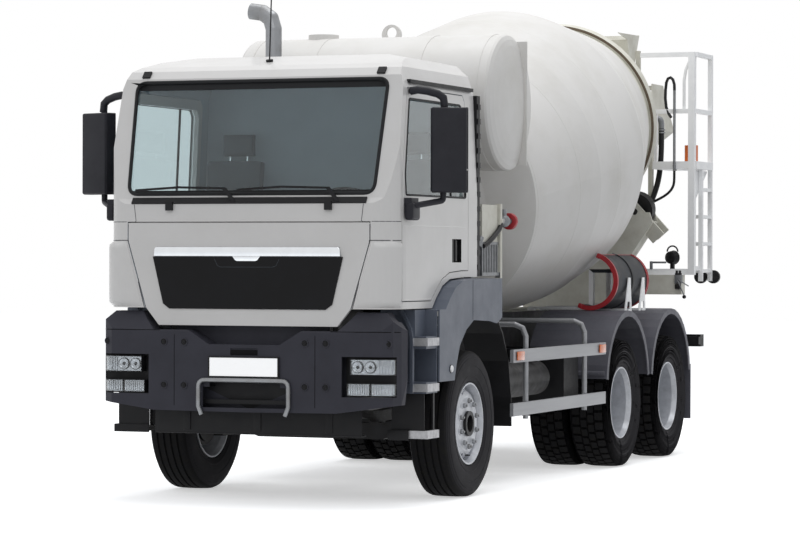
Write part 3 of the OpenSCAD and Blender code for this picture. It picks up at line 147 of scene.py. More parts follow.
# %% A painted reflection that changes with height
def painted_reflection_over_height(material, low, high, tones):
    """Grades a finish over its height as a painted reflection, with tones given as (share of the height,
    colour).
    """
    tree = material.node_tree
    shader = next(node for node in tree.nodes if node.type == "BSDF_PRINCIPLED")
    place = add(tree, "ShaderNodeTexCoord").outputs["Object"]
    parts = add(tree, "ShaderNodeSeparateXYZ", links={"Vector": place})
    share = add(tree, "ShaderNodeMapRange", {"From Min": low, "From Max": high},
                {"Value": parts.outputs["Z"]})
    ramp = add(tree, "ShaderNodeValToRGB", links={"Fac": share.outputs["Result"]})
    ends = ramp.color_ramp.elements
    while len(ends) < len(tones):
        ends.new(0.5)
    for end, (at, colour) in zip(ends, tones):
        end.position = at
        end.color = paint_code(colour)
    tree.links.new(ramp.outputs["Color"], shader.inputs["Base Color"])


# %% Finishes of the large parts
# Cab: two-layer enamel sprayed on sheet steel, very smooth, a clear gloss over a warm white.
cab_enamel = finish("cab_enamel", "#d6d4d2", "#cac8c5", 420, 0.5, 0.32, 0.04, grain_mm=6,
                    grain_height_mm=0.012, coat=0.2)
# Drum and tank: the same white rolled over thick plate, a little dusty, flatter than the cab.
drum_enamel = finish("drum_enamel", "#dad8d5", "#c8c5be", 650, 0.6, 0.48, 0.06, grain_mm=14,
                     grain_height_mm=0.1)
# Mixer frame: cream primer-like coat on rolled sections, dulled by cement dust.
mixer_cream = finish("mixer_cream", "#d8d6cb", "#c0bcae", 160, 0.7, 0.6, 0.1, grain_mm=5,
                     grain_height_mm=0.05)
# Bumper and mirror housings: grained black-grey moulded plastic, a fine leathery grain.
bumper_plastic = finish("bumper_plastic", "#34343c", "#2b2b31", 240, 0.5, 0.55, 0.06, grain_mm=2.2,
                        grain_height_mm=0.08, ior=1.3)
mirror_plastic = finish("mirror_plastic", "#25252b", "#17171b", 200, 0.5, 0.5, 0.06, grain_mm=2,
                        grain_height_mm=0.06, ior=1.3)
# Fenders: slate-blue moulded plastic, slightly glossier on its rounded shoulders.
fender_plastic = finish("fender_plastic", "#5b616d", "#4c525d", 260, 0.5, 0.42, 0.08, grain_mm=2.5,
                        grain_height_mm=0.05, ior=1.4)
rear_fender_plastic = finish("rear_fender_plastic", "#5a5a62", "#48484f", 150, 0.5, 0.55, 0.08, grain_mm=2.5,
                             grain_height_mm=0.06, ior=1.4)
# Chassis: black dip paint over steel, road dust settled in patches.
chassis_paint = finish("chassis_paint", "#17171a", "#2c2926", 120, 0.5, 0.5, 0.12, grain_mm=6,
                       grain_height_mm=0.08, ior=1.35)
# Springs and knuckles: black paint worn to rusty steel.
spring_steel = finish("spring_steel", "#1b1b1d", "#34302c", 90, 0.6, 0.55, 0.1, grain_mm=5,
                      grain_height_mm=0.1, ior=1.35)
# Tyres: black rubber that weathers to grey, with a fine moulded surface.
tyre_rubber = finish("tyre_rubber", "#232225", "#2f2e30", 60, 0.6, 0.75, 0.08, grain_mm=4,
                     grain_height_mm=0.12, ior=1.25)
tread_rubber = finish("tread_rubber", "#19191b", "#2a2825", 45, 0.6, 0.85, 0.06, grain_mm=5,
                      grain_height_mm=0.2, ior=1.25)
# Hoses: smooth extruded rubber, a little glossy.
hose_rubber = finish("hose_rubber", "#121214", "#1f1f21", 60, 0.5, 0.5, 0.08, grain_mm=2,
                     grain_height_mm=0.04, ior=1.35)
print(len(bpy.data.materials) - given, "finishes for the large parts")

# %% Finishes of metal
# Wheels: aluminium-coloured enamel on pressed steel, flakes too fine to see.
wheel_silver = finish("wheel_silver", "#c9cbd0", "#9b9da2", 90, 0.6, 0.38, 0.08, metallic=0.2, grain_mm=3)
# Guards and step plates: extruded aluminium, drawn lines along the length.
drawn_aluminium = finish("drawn_aluminium", "#97989b", "#7b7c7f", 220, 0.6, 0.45, 0.1, metallic=0.5,
                         grain_mm=7, grain_height_mm=0.06, stretch=(1, 0.04, 1))
step_aluminium = finish("step_aluminium", "#b4b4b6", "#8c8c8f", 45, 0.7, 0.45, 0.1, metallic=0.5, grain_mm=4)
# Exhaust and pipes: aluminised steel, dull with heat.
aluminised_steel = finish("aluminised_steel", "#8f9194", "#74716d", 130, 0.6, 0.42, 0.1, metallic=0.6,
                          grain_mm=4)
# Fuel tank: bare aluminium gone grey with road film.
tank_grey = finish("tank_grey", "#55565a", "#424347", 160, 0.6, 0.5, 0.1, metallic=0.3, grain_mm=5, ior=1.3)
# Plating: chrome, a clean mirror with the faintest haze.
chrome = finish("chrome", "#dfe2e5", "#c9ccd0", 90, 0.4, 0.16, 0.04, metallic=1.0, grain_mm=10,
                grain_height_mm=0.004)
# Grille: black gloss acrylic-faced moulding, which mirrors hardly anything when seen square on.
grille_gloss = finish("grille_gloss", "#08080b", "#0e0e13", 200, 0.5, 0.12, 0.03, grain_mm=12,
                      grain_height_mm=0.01, ior=1.27)
# Plated bar of the grille: chromed plastic with a painted reflection, darkest along its foot and
# palest just under its top. Only its edge shows round the brighter moulded bar.
plated_bar_painted_reflection = finish("plated_bar_painted_reflection", "#dfe2e5", "#c9ccd0", 90, 0.4, 0.24, 0.04, metallic=0.85, grain_mm=10,
                    grain_height_mm=0.01)
painted_reflection_tones = ((0.0, "#6f7276"), (0.28, "#b4b7bb"), (0.55, "#d4d7da"), (0.82, "#e6e8ea"), (1.0, "#9ea1a5"))
painted_reflection_over_height(plated_bar_painted_reflection, 1.757, 1.8215, painted_reflection_tones)
print(len(bpy.data.materials) - given, "finishes with the metals")

# %% Finishes of small parts and seams
# Housings, handles and covers: black moulded plastic, its fine grain breaks up the shine.
black_plastic = finish("black_plastic", "#141416", "#1e1e21", 80, 0.5, 0.52, 0.08, grain_mm=2,
                       grain_height_mm=0.05, ior=1.3)
# Seals: soft black rubber, matt and a little dusty.
seal_rubber = finish("seal_rubber", "#18191b", "#222326", 90, 0.5, 0.6, 0.05, grain_mm=2,
                     grain_height_mm=0.03, ior=1.3)
# Weld beads: the drum's white over a rippled bead.
weld_enamel = finish("weld_enamel", "#dddbd8", "#cfccc6", 60, 0.5, 0.5, 0.06, grain_mm=3,
                     grain_height_mm=0.05)
# Pressed lines: enamel on a raised edge, painted a shade lighter than the sheet as a highlight.
crease_enamel_painted_highlight = finish("crease_enamel_painted_highlight", "#dddbd9", "#d3d1cf", 200, 0.5, 0.3, 0.04, grain_mm=6,
                            coat=0.3)
# Gaps: what shows in a joint is dirt and shade, darker in plastic than between white panels.
seam_shadow_dark = finish("seam_shadow_dark", "#101012", "#18181a", 90, 0.5, 0.8, 0.05, grain_mm=2, ior=1.2)
seam_shadow = finish("seam_shadow", "#58575b", "#4b4a4d", 90, 0.5, 0.8, 0.05, grain_mm=2, ior=1.2)
# Red rims: brushed enamel on rolled strip, faded and scuffed in patches.
chute_red = finish("chute_red", "#a8242c", "#7f1c22", 70, 0.6, 0.42, 0.1, grain_mm=4, grain_height_mm=0.05)
# Spare chutes: dark sheet steel, worn to bright grey where concrete has slid.
chute_steel = finish("chute_steel", "#1c1d21", "#4f5359", 110, 0.55, 0.5, 0.12, grain_mm=5,
                     grain_height_mm=0.1, ior=1.25)
# Ladder and railing: thick white enamel on tube.
ladder_white = finish("ladder_white", "#fafafa", "#ebebed", 120, 0.5, 0.45, 0.08, grain_mm=4,
                      grain_height_mm=0.04)
# Cooler and fittings: zinc-plated steel, cloudy grey.
cooler_metal = finish("cooler_metal", "#808285", "#66686a", 60, 0.6, 0.45, 0.1, metallic=0.5, grain_mm=3)
# Number plate: white film on sheet aluminium.
plate_white = finish("plate_white", "#fbfbfb", "#f2f2f2", 200, 0.4, 0.35, 0.04, grain_mm=3,
                     grain_height_mm=0.01)
# Dashboard: grey moulded plastic with a leathery grain.
trim_grey = finish("trim_grey", "#3a3e43", "#303438", 120, 0.5, 0.7, 0.06, grain_mm=3, grain_height_mm=0.1,
                   ior=1.35)
# Seats: woven cloth, as matt as a surface gets. Its weave is too fine to show from here.
seat_cloth = finish("seat_cloth", "#62686e", "#555a60", 30, 0.6, 0.95, 0.03, grain_mm=3, grain_height_mm=0.2,
                    ior=1.3)
# Reflectors and beacon: amber acrylic, glossy in front of its prisms.
amber_lens = finish("amber_lens", "#dd6a18", "#c85810", 30, 0.5, 0.22, 0.05, grain_mm=6, grain_height_mm=0.3,
                    coat=0.4)
# Lamp bowls: aluminium vapour on plastic, a mirror that the ribs break up.
lamp_chrome = finish("lamp_chrome", "#a6a8ac", "#808286", 40, 0.5, 0.2, 0.05, metallic=1.0, grain_mm=12,
                     grain_height_mm=0.03)
# Band beside the running ring: brown grease and cement.
drum_brown = finish("drum_brown", "#5d4f40", "#7b6f5f", 80, 0.6, 0.7, 0.08, grain_mm=5, grain_height_mm=0.2)
# Painted glow: an emission makes the plate look brighter than white paint, as retroreflective sheet looks.
painted_glow = next(node for node in plate_white.node_tree.nodes if node.type == "BSDF_PRINCIPLED")
painted_glow.inputs["Emission Color"].default_value = (1, 1, 1, 1)
painted_glow.inputs["Emission Strength"].default_value = 0.32
print(len(bpy.data.materials) - given, "finishes mixed in all")

# %% [markdown]
# ## Hoses
# Two rubber hoses hang at the rear. Each is a curve along its own centre line, from the end of
# its fitting down to the socket on the rear frame. The points are the hose's real route in
# metres, rounded off between them.

# %% Smooth routes and round curves
def smooth_route(knots, steps=4):
    """A rounded line through knots, with a few points in each stretch."""
    knots = [Vector(k) - Vector((0, AHEAD, 0)) for k in knots]
    ends = [knots[0] * 2 - knots[1]] + knots + [knots[-1] * 2 - knots[-2]]
    line = []
    for a, b, c, d in zip(ends, ends[1:], ends[2:], ends[3:]):
        for i in range(steps):
            t = i / steps
            line.append(0.5 * (2 * b + (c - a) * t + (2 * a - 5 * b + 4 * c - d) * t ** 2
                               + (3 * b - a - 3 * c + d) * t ** 3))
    return line + [knots[-1]]


def round_curve(name, places, radius, resolution):
    """A curve through places with a round section and closed ends."""
    data = bpy.data.curves.new(name, "CURVE")
    data.dimensions = "3D"
    data.bevel_depth = radius
    data.bevel_resolution = resolution
    data.use_fill_caps = True
    spline = data.splines.new("POLY")
    spline.points.add(len(places) - 1)
    for knot, place in zip(spline.points, places):
        knot.co = (*place, 1.0)
    piece = bpy.data.objects.new(name, data)
    bpy.context.scene.collection.objects.link(piece)
    return piece


def hose(name, knots, diameter, replaced):
    line = smooth_route(knots)
    piece = round_curve(name, line, diameter / 2, 5)
    piece.data.materials.append(hose_rubber)
    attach(piece, "chassis")
    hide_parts(replaced)


# %% The two hoses
drain_route = [(0.7290, 6.475, 2.965), (0.7300, 6.472, 2.880), (0.7300, 6.468, 2.780), (0.7290, 6.457, 2.680),
               (0.7270, 6.438, 2.590), (0.7230, 6.408, 2.500), (0.7160, 6.368, 2.420), (0.7050, 6.320, 2.345),
               (0.6900, 6.272, 2.275), (0.6750, 6.240, 2.222), (0.6660, 6.227, 2.195)]
wash_route = [(0.9920, 5.995, 2.578), (0.9920, 5.995, 2.520), (0.9910, 5.996, 2.470), (0.9840, 5.999, 2.425),
              (0.9640, 6.004, 2.385), (0.9300, 6.012, 2.350), (0.8850, 6.021, 2.320), (0.8350, 6.031, 2.295),
              (0.7850, 6.041, 2.273), (0.7400, 6.050, 2.252), (0.7050, 6.057, 2.228), (0.6830, 6.061, 2.205),
              (0.6720, 6.062, 2.185)]
hose("drain_hose_rubber", drain_route, 0.052, "drain_hose")
hose("wash_hose_rubber", wash_route, 0.024, "wash_hose")

# %% [markdown]
# ## Glass
# The cab has tinted safety glass: it passes most of what lies behind it and mirrors the sky at
# a slant. A transmission shader on the real, 6 mm thick pane gives both at once.

# %% Window glass
def glazing(name, tint, rough=0.0, ior=1.45):
    material = bpy.data.materials.new(name)
    tree = emptied(material)
    place = add(tree, "ShaderNodeTexCoord").outputs["Object"]
    film = add(tree, "ShaderNodeTexNoise", {"Scale": 3.0, "Detail": 3.0}, {"Vector": place})
    haze = add(tree, "ShaderNodeMapRange", {"To Min": rough, "To Max": rough + 0.01},
               {"Value": film.outputs["Fac"]})
    shader = add(tree, "ShaderNodeBsdfPrincipled",
                 {"Base Color": paint_code(tint), "Transmission Weight": 1.0, "IOR": ior},
                 {"Roughness": haze.outputs["Result"]})
    add(tree, "ShaderNodeOutputMaterial", links={"Surface": shader.outputs["BSDF"]})
    return material


window_glass = glazing("window_glass", "#dbe6e8")
lens_glass = glazing("lens_glass", "#f2f5f6")

# %% [markdown]
# ## Studio
# The photograph has a white background and soft light that comes mostly from above: roof, tank
# and drum are pale on top and go down to a mid grey on their sides. A wide lamp overhead gives
# that. The pale floor keeps the truck's shadow, and throws back less light than it shows.

# %% Floor
def looking_rays(tree):
    """One for a ray from the camera, a mirror or glass, which then sees the white background."""
    rays = add(tree, "ShaderNodeLightPath")
    straight = add(tree, "ShaderNodeMath", operation="MAXIMUM",
                   links={0: rays.outputs["Is Camera Ray"], 1: rays.outputs["Is Glossy Ray"]})
    return add(tree, "ShaderNodeMath", operation="MAXIMUM",
               links={0: straight.outputs[0], 1: rays.outputs["Is Transmission Ray"]}).outputs[0]


bpy.ops.object.select_all(action="DESELECT")
bpy.ops.mesh.primitive_plane_add(size=120, location=(0, 0, 0))
floor = bpy.context.object
floor.name = "studio_floor"
floor.data.materials.append(bpy.data.materials.new("studio_floor"))
tree = emptied(floor.data.materials[0])
lit_floor = add(tree, "ShaderNodeBsdfDiffuse", {"Color": paint_code("#b4b4b4")})
pale_floor = add(tree, "ShaderNodeBsdfDiffuse", {"Color": paint_code("#f4f4f4")})
white = add(tree, "ShaderNodeEmission", {"Color": (1, 1, 1, 1), "Strength": 0.50})
shown_floor = add(tree, "ShaderNodeAddShader", links={0: pale_floor.outputs[0], 1: white.outputs[0]})
surface = add(tree, "ShaderNodeMixShader",
              links={0: looking_rays(tree), 1: lit_floor.outputs[0], 2: shown_floor.outputs[0]})
add(tree, "ShaderNodeOutputMaterial", links={"Surface": surface.outputs[0]})
print("floor laid")

# %% Sky and lamps
world = bpy.data.worlds.new("sky")
bpy.context.scene.world = world
tree = emptied(world)
lit_sky = add(tree, "ShaderNodeBackground", {"Color": (0.93, 0.96, 1.0, 1), "Strength": 0.62})
shown_sky = add(tree, "ShaderNodeBackground", {"Color": (1, 1, 1, 1), "Strength": 1.0})
sky = add(tree, "ShaderNodeMixShader",
          links={0: looking_rays(tree), 1: lit_sky.outputs[0], 2: shown_sky.outputs[0]})
add(tree, "ShaderNodeOutputWorld", links={"Surface": sky.outputs[0]})
for name, place, aim, size, watts in (
        ("key_lamp", (4, -17, 11), (0, -1, 1.5), 9, 330),
        ("side_lamp", (-12, -9, 9), (0, 0, 1.5), 9, 160),
        ("top_lamp", (1, 1, 16), (0, 0, 1), 12, 1260)):
    lamp_data = bpy.data.lights.new(name, "AREA")
    lamp_data.size = size
    lamp_data.energy = watts
    lamp = bpy.data.objects.new(name, lamp_data)
    bpy.context.scene.collection.objects.link(lamp)
    lamp.location = place
    lamp.rotation_euler = (Vector(aim) - Vector(place)).to_track_quat("-Z", "Y").to_euler()
print("studio lit by", len(bpy.data.lights), "lamps")

# %% [markdown]
# ## Finishes on the solids
# Each solid comes with one slot. Where the real part has two finishes, such as silver step
# plates on a slate fender, more slots are added and the faces in a stated box take them.

# %% Dressing the solids
def dress(node_name, material):
    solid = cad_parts[node_name]
    solid.data.materials.clear()
    solid.data.materials.append(material)


def dress_where(node_name, material, chosen):
    """Gives the faces that a test picks another finish, and counts them."""
    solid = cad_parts[node_name]
    solid.data.materials.append(material)
    picked = [face for face in solid.data.polygons if chosen(face)]
    for face in picked:
        face.material_index = len(solid.data.materials) - 1
    return len(picked)


def dress_part(node_name, material, low, high, facing=None):
    """Another finish for the faces of both sides that lie in a box, and look a given way."""
    def chosen(face):
        side = 1 if face.center.x > 0 else -1
        place = (face.center.x * side, face.center.y + AHEAD, face.center.z)
        looks = Vector((face.normal.x * side, face.normal.y, face.normal.z))
        return all(low[i] <= place[i] <= high[i] for i in range(3)) and (
            facing is None or looks.dot(Vector(facing)) > 0.5)
    return dress_where(node_name, material, chosen)


def dress_near(node_name, material, start, end, reach):
    """Another finish for the faces near a line, for a rod that is one solid with its plate."""
    start, end = (Vector((x, y - AHEAD, z)) for x, y, z in (start, end))
    along = (end - start).normalized()

    def chosen(face):
        arm = face.center - start
        return (arm - along * arm.dot(along)).length < reach
    return dress_where(node_name, material, chosen)


# %% A coat for every solid
coats = {
    "frame": chassis_paint, "driveline": chassis_paint, "axles": chassis_paint, "cab_mounts": chassis_paint,
    "leaf_springs": spring_steel, "bumper": bumper_plastic, "bumper_step": aluminised_steel,
    "lamps": black_plastic, "number_plate": plate_white,
    "front_fenders": fender_plastic, "rear_fenders": rear_fender_plastic,
    "side_guards": drawn_aluminium, "battery_box": black_plastic, "fuel_tank": tank_grey,
    "air_tanks": chassis_paint, "exhaust_stack": aluminised_steel, "air_intake": black_plastic,
    "water_gear": cooler_metal, "subframe": mixer_cream, "drum_drive": mixer_cream, "water_tank": drum_enamel,
    "rear_pedestal": mixer_cream, "drum_rollers": spring_steel, "hopper": mixer_cream,
    "discharge_funnel": mixer_cream, "platform": ladder_white, "extension_chutes": chute_steel,
    "drain_hose": hose_rubber, "wash_hose": hose_rubber, "knuckle_left": spring_steel,
    "knuckle_right": spring_steel, "cab_shell": cab_enamel, "cab_interior": seat_cloth,
    "windscreen": window_glass, "cab_trim": black_plastic, "front_flap": cab_enamel, "grille": grille_gloss,
    "door_left": cab_enamel, "door_right": cab_enamel, "door_glass_left": window_glass,
    "door_glass_right": window_glass, "mirrors_left": mirror_plastic, "mirrors_right": mirror_plastic,
    "drum": drum_enamel, "chute_arm": mixer_cream, "chute": mixer_cream}
for node_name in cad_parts:
    if node_name.startswith("tyre"):
        dress(node_name, tyre_rubber)
    elif node_name.startswith("rim"):
        dress(node_name, wheel_silver)
    else:
        dress(node_name, coats[node_name])
print("coats given:", len(coats), "by name, and one each to tyres and rims")

# %% Second finishes on some solids
# The arch inside each front fender, its inner wall, and the wells behind the steps: black, as painted shade
dress_part("front_fenders", black_plastic, (0.80, -0.78, 1.29), (1.209, 0.56, 1.60), (0, 0, -1))
dress_part("front_fenders", black_plastic, (0.80, -0.78, 0.86), (1.2085, 0.56, 1.60), (-1, 0, 0))
dress_part("front_fenders", black_plastic, (0.87, 0.49, 0.47), (1.2085, 0.85, 1.31))
dress_part("front_fenders", black_plastic, (0.93, -1.0075, 0.535), (1.20, -0.79, 0.806))
# Three steps and their bracket. The lowest step on the right stands behind the bumper, in black as painted
# shade
dress_part("front_fenders", step_aluminium, (0.94, -1.03, 0.47), (1.23, -0.78, 0.5345))
dress_part("front_fenders", step_aluminium, (1.087, -1.03, 0.806), (1.23, -0.784, 0.8635))
dress_part("front_fenders", step_aluminium, (1.087, -1.03, 1.1285), (1.23, -0.784, 1.1855))
dress_part("front_fenders", chassis_paint, (0.37, -1.01, 0.855), (0.8605, -0.87, 0.965))
dress_where("front_fenders", black_plastic, lambda face: (
    face.center.x < -0.94 and face.center.z < 0.5345 and face.center.y + AHEAD < -0.78))
# Side reflectors, the spare chutes' two cheeks and their rods
dress_part("side_guards", amber_lens, (1.2712, 0.76, 0.975), (1.28, 2.93, 1.04))
dress_part("extension_chutes", ladder_white, (0.3, 3.79, 1.29), (0.912, 4.35, 1.34))
dress_part("extension_chutes", ladder_white, (0.865, 3.795, 1.33), (0.915, 4.35, 1.66))
for edge_x, edge_z in ((1.0173, 1.7680), (0.8553, 1.3464)):
    dress_near("extension_chutes", chute_red, (edge_x, 3.6, edge_z), (edge_x, 4.5, edge_z), 0.0155)
# Beacon, the ladder's rubber feet and the box behind them
dress_part("platform", amber_lens, (1.04, 6.08, 2.641), (1.18, 6.22, 2.80))
dress_part("platform", hose_rubber, (1.02, 6.54, 1.51), (1.28, 6.60, 1.65))
dress_part("platform", mixer_cream, (0.71, 5.92, 1.41), (1.09, 6.06, 1.5995))
# Cover and post of the water gear, and the cap of its valve
dress_part("water_gear", mixer_cream, (0.99, 0.49, 1.871), (1.11, 0.91, 2.17))
dress_part("water_gear", mixer_cream, (1.055, 0.861, 1.55), (1.11, 0.91, 2.17))
dress_part("water_gear", chute_red, (1.0, 1.105, 1.96), (1.15, 1.16, 2.10))
# Recess behind the step bar, black as painted shade; the tank's legs, the drum's motor, and the rails under
# the subframe
dress_part("bumper", black_plastic, (0, -1.425, 0.69), (0.30, -1.2, 0.90))
dress_part("water_tank", mixer_cream, (0.30, 0.89, 1.29), (0.57, 1.53, 2.42))
dress_part("drum_drive", chassis_paint, (0, 1.15, 1.8), (0.2, 1.36, 2.3))
dress_part("subframe", chassis_paint, (0, 0, 0), (2, 7, 1.245))
# The grille's bar, with its painted reflection, and the recess of each door's handle
dress_part("grille", plated_bar_painted_reflection, (0, -1.41, 1.7535), (0.73, -1.38, 1.83))
for door in ("door_left", "door_right"):
    dress_part(door, black_plastic, (1.05, -0.262, 1.708), (1.1185, -0.053, 1.892))
second = sum(len(solid.data.materials) > 1 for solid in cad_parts.values())
print("solids dressed:", len(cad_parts), "of which", second, "in more than one finish")

# %% [markdown]
# ## A modeller's habits
# Before a new piece, nothing is selected. After it, its place is applied to its mesh, its edges
# are shaded smooth up to an angle, and it is told its finish, its slot and the body it rides on.

# %% Helpers for new pieces
SIDES = ((1, "left"), (-1, "right"))
MIRROR = Matrix.Diagonal((-1, 1, 1, 1))
ORIGIN = Vector((0, 0, 0))


def clear_selection():
    if bpy.context.object and bpy.context.object.mode != "OBJECT":
        bpy.ops.object.mode_set(mode="OBJECT")
    bpy.ops.object.select_all(action="DESELECT")


def select_only(piece):
    clear_selection()
    piece.select_set(True)
    bpy.context.view_layer.objects.active = piece


def settle(piece, name, material, body, angle=35):
    select_only(piece)
    bpy.ops.object.transform_apply(location=True, rotation=True, scale=True)
    bpy.ops.object.shade_smooth_by_angle(angle=math.radians(angle))
    piece.name = piece.data.name = name
    if material is not None:
        piece.data.materials.clear()
        piece.data.materials.append(material)
    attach(piece, body)
    return piece


# %% Mirrored, joined and copied pieces
def to_side(piece, sign):
    """Mirrors a piece that was made for the left, where its side is the right."""
    if sign < 0:
        piece.data.transform(MIRROR)
        piece.data.flip_normals()
    return piece


def joined(parts):
    clear_selection()
    for part in parts:
        part.select_set(True)
    bpy.context.view_layer.objects.active = parts[0]
    if len(parts) > 1:
        bpy.ops.object.join()
    return bpy.context.object


def copy_of(piece, matrix):
    twin = piece.copy()
    twin.data = piece.data.copy()
    twin.data.transform(matrix)
    if matrix.determinant() < 0:
        twin.data.flip_normals()
    bpy.context.scene.collection.objects.link(twin)
    return twin


# %% Rounded blocks
def rounded_block(low, high, bevel_mm=4, steps=2, material=None):
    """A cube at its size and place, its edges bevelled."""
    clear_selection()
    low, high = Vector(low), Vector(high)
    bpy.ops.mesh.primitive_cube_add(size=1, location=(low + high) / 2)
    block = bpy.context.object
    block.scale = high - low
    bpy.ops.object.transform_apply(location=True, rotation=True, scale=True)
    bpy.ops.object.mode_set(mode="EDIT")
    bpy.ops.mesh.select_all(action="SELECT")
    bpy.ops.mesh.bevel(offset=bevel_mm / 1000, segments=steps, affect="EDGES")
    bpy.ops.object.mode_set(mode="OBJECT")
    if material is not None:
        block.data.materials.append(material)
    return block


def station(x, y, z):
    """A point given by its distance behind the front axle."""
    return Vector((x, y - AHEAD, z))


def block_at(low, high, bevel_mm, steps, material):
    """A rounded block whose corners are given behind the front axle."""
    return rounded_block(station(*low), station(*high), bevel_mm, steps, material)


# %% Spun pieces
def turned(profile, centre, axis="X", steps=64, material=None, arc=360):
    """A profile of [distance along the axis, radius], drawn point by point and spun round the axis."""
    clear_selection()
    along = {"X": Vector((1, 0, 0)), "Y": Vector((0, 1, 0)), "Z": Vector((0, 0, 1))}[axis]
    out = {"X": Vector((0, 0, 1)), "Y": Vector((0, 0, 1)), "Z": Vector((0, 1, 0))}[axis]
    points = [centre + along * a + out * r for a, r in profile]
    bpy.ops.mesh.primitive_plane_add(size=0.01, location=points[0])
    bpy.ops.object.transform_apply(location=True, rotation=True, scale=True)
    piece = bpy.context.object
    bpy.ops.object.mode_set(mode="EDIT")
    bpy.ops.mesh.select_all(action="SELECT")
    bpy.ops.mesh.merge(type="CENTER")
    for start, end in zip(points, points[1:]):
        bpy.ops.mesh.extrude_vertices_move(TRANSFORM_OT_translate={"value": end - start})
    bpy.ops.mesh.select_all(action="SELECT")
    bpy.ops.mesh.spin(steps=steps, angle=math.radians(arc), center=centre, axis=along)
    bpy.ops.mesh.select_all(action="SELECT")
    bpy.ops.mesh.remove_doubles(threshold=0.0001)
    if arc < 360:
        bpy.ops.mesh.fill_holes(sides=0)
    bpy.ops.mesh.normals_make_consistent(inside=False)
    bpy.ops.object.mode_set(mode="OBJECT")
    if material is not None:
        piece.data.materials.append(material)
    return piece


# %% [markdown]
# ## Tyres
# A steering tyre has straight ribs all round, which can simply be drawn in the profile and spun.
# A drive tyre has separate blocks: its tread is spun at the depth of the grooves, and every block
# is then raised from it. Either is modelled once and copied to each wheel, because like tyres
# on a truck really are alike. Their flanks carry plain moulded rings and nothing else.

# %% Rubber in the flank, dusty rubber in the tread
AXLE_Z, TREAD_HALF_W = 0.536, 0.135
TREAD_STEPS = 160   # of the drive tyre, so that four of them make up one block and its groove


def tyre_ring(outline_mm, steps):
    half = [(a / 1000, r / 1000) for a, r in outline_mm]
    profile = [(-a, r) for a, r in reversed(half)] + half
    profile = [p for i, p in enumerate(profile) if i == 0 or p != profile[i - 1]]
    ring = turned(profile + [profile[0]], ORIGIN, "X", steps, tyre_rubber)
    ring.data.materials.append(tread_rubber)
    return ring


def darken_tread(tyre, from_radius):
    for face in tyre.data.polygons:
        place = face.center
        in_tread = math.hypot(place.y, place.z) > from_radius and abs(place.x) < TREAD_HALF_W
        face.material_index = 1 if in_tread else 0


flank_mm = [(140, 512), (146, 500), (149, 498), (152, 480), (155, 478), (157, 462), (157.5, 440), (157, 424),
            (154.5, 422), (154, 404), (151, 380), (147, 358), (149, 355), (148, 345), (143, 338), (140, 326),
            (137, 316), (131, 308), (122, 301), (60, 300.5), (0, 300.5)]
steer_tyre = tyre_ring([(0, 536), (19, 536), (21, 523), (33, 523), (35, 536), (71, 535), (73, 522), (86, 522),
                        (88, 534.5), (116, 532.5), (130, 527)] + flank_mm, 96)
darken_tread(steer_tyre, 0.515)
print("steering tyre:", len(steer_tyre.data.polygons), "faces")

# %% Blocks of the drive tyre
drive_tyre = tyre_ring([(0, 521), (5, 521), (56, 520.5), (66, 520.5), (100, 519), (129, 514)] + flank_mm,
                       TREAD_STEPS)


def raise_blocks(tyre, height):
    """Three steps of rubber and one of groove, set out of phase from band to band."""
    mesh = tyre.data
    for face in mesh.polygons:
        place = face.center
        step = int(round(math.degrees(math.atan2(place.y, place.z)) / (360 / TREAD_STEPS) - 0.5)) % 4
        inner, outer = 0.005 < abs(place.x) < 0.056, 0.066 < abs(place.x) < 0.129
        phase = (0 if place.x > 0 else 2) + (0 if inner else 1)
        face.select = (inner or outer) and math.hypot(place.y, place.z) > 0.508 and step != phase % 4
    select_only(tyre)
    bpy.context.tool_settings.mesh_select_mode = (False, False, True)
    bpy.ops.object.mode_set(mode="EDIT")
    bpy.ops.mesh.extrude_region_shrink_fatten(TRANSFORM_OT_shrink_fatten={"value": height})
    bpy.ops.object.mode_set(mode="OBJECT")
    bpy.context.tool_settings.mesh_select_mode = (True, False, False)


raise_blocks(drive_tyre, 0.0148)
darken_tread(drive_tyre, 0.510)
reach = max(math.hypot(v.co.y, v.co.z) for v in drive_tyre.data.vertices)
print("drive tyre:", len(drive_tyre.data.polygons), "faces, outer radius", round(reach, 4))

# %% The ten tyres on their wheels
wheel_rows = (("front", "tyre_front_", 0.0, (1.030,), steer_tyre),
              ("middle", "tyres_middle_", 3.6, (1.085, 0.735), drive_tyre),
              ("rear", "tyres_rear_", 5.0, (1.085, 0.735), drive_tyre))
for row, node_stem, back, centres, pattern in wheel_rows:
    for sign, side in SIDES:
        rings = [copy_of(pattern, Matrix.Translation(station(sign * x, back, AXLE_Z))
                         @ Matrix.Diagonal((sign, 1, 1, 1))) for x in centres]
        wheel = row + "_" + side
        tyre = settle(joined(rings), "tread_" + wheel, None, "wheel_" + wheel, 28)
        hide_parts(node_stem + side)
for pattern in (steer_tyre, drive_tyre):
    bpy.data.objects.remove(pattern)
print("tyres on the wheels:", sum(len(centres) * len(SIDES) for _, _, _, centres, _ in wheel_rows))

# %% [markdown]
# ## Lines that lie on the cab
# Shut lines, rubber seals and weld beads follow the sheet metal under them. So their points are
# given as seen from the front or from the side, and a ray finds the sheet there: the line then
# lies on the real surface, however it curves.

# %% Rays that find the sheet
RAYS_AHEAD, RAYS_BESIDE = 1.8, 1.6   # where rays start, clear of the truck


def found(origin, direction, names):
    best = None
    for name in names:
        hit, place, normal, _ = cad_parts[name].ray_cast(origin, direction)
        if hit and (best is None or (place - origin).length < (best[0] - origin).length):
            best = (place, normal)
    return best


def from_front(x, z, names=("cab_shell", "windscreen")):
    return found(Vector((x, -AHEAD - RAYS_AHEAD, z)), Vector((0, 1, 0)), names)


def from_side(y, z, sign=1, names=("cab_shell", "door_left", "door_right")):
    return found(Vector((sign * RAYS_BESIDE, y - AHEAD, z)), Vector((-sign, 0, 0)), names)


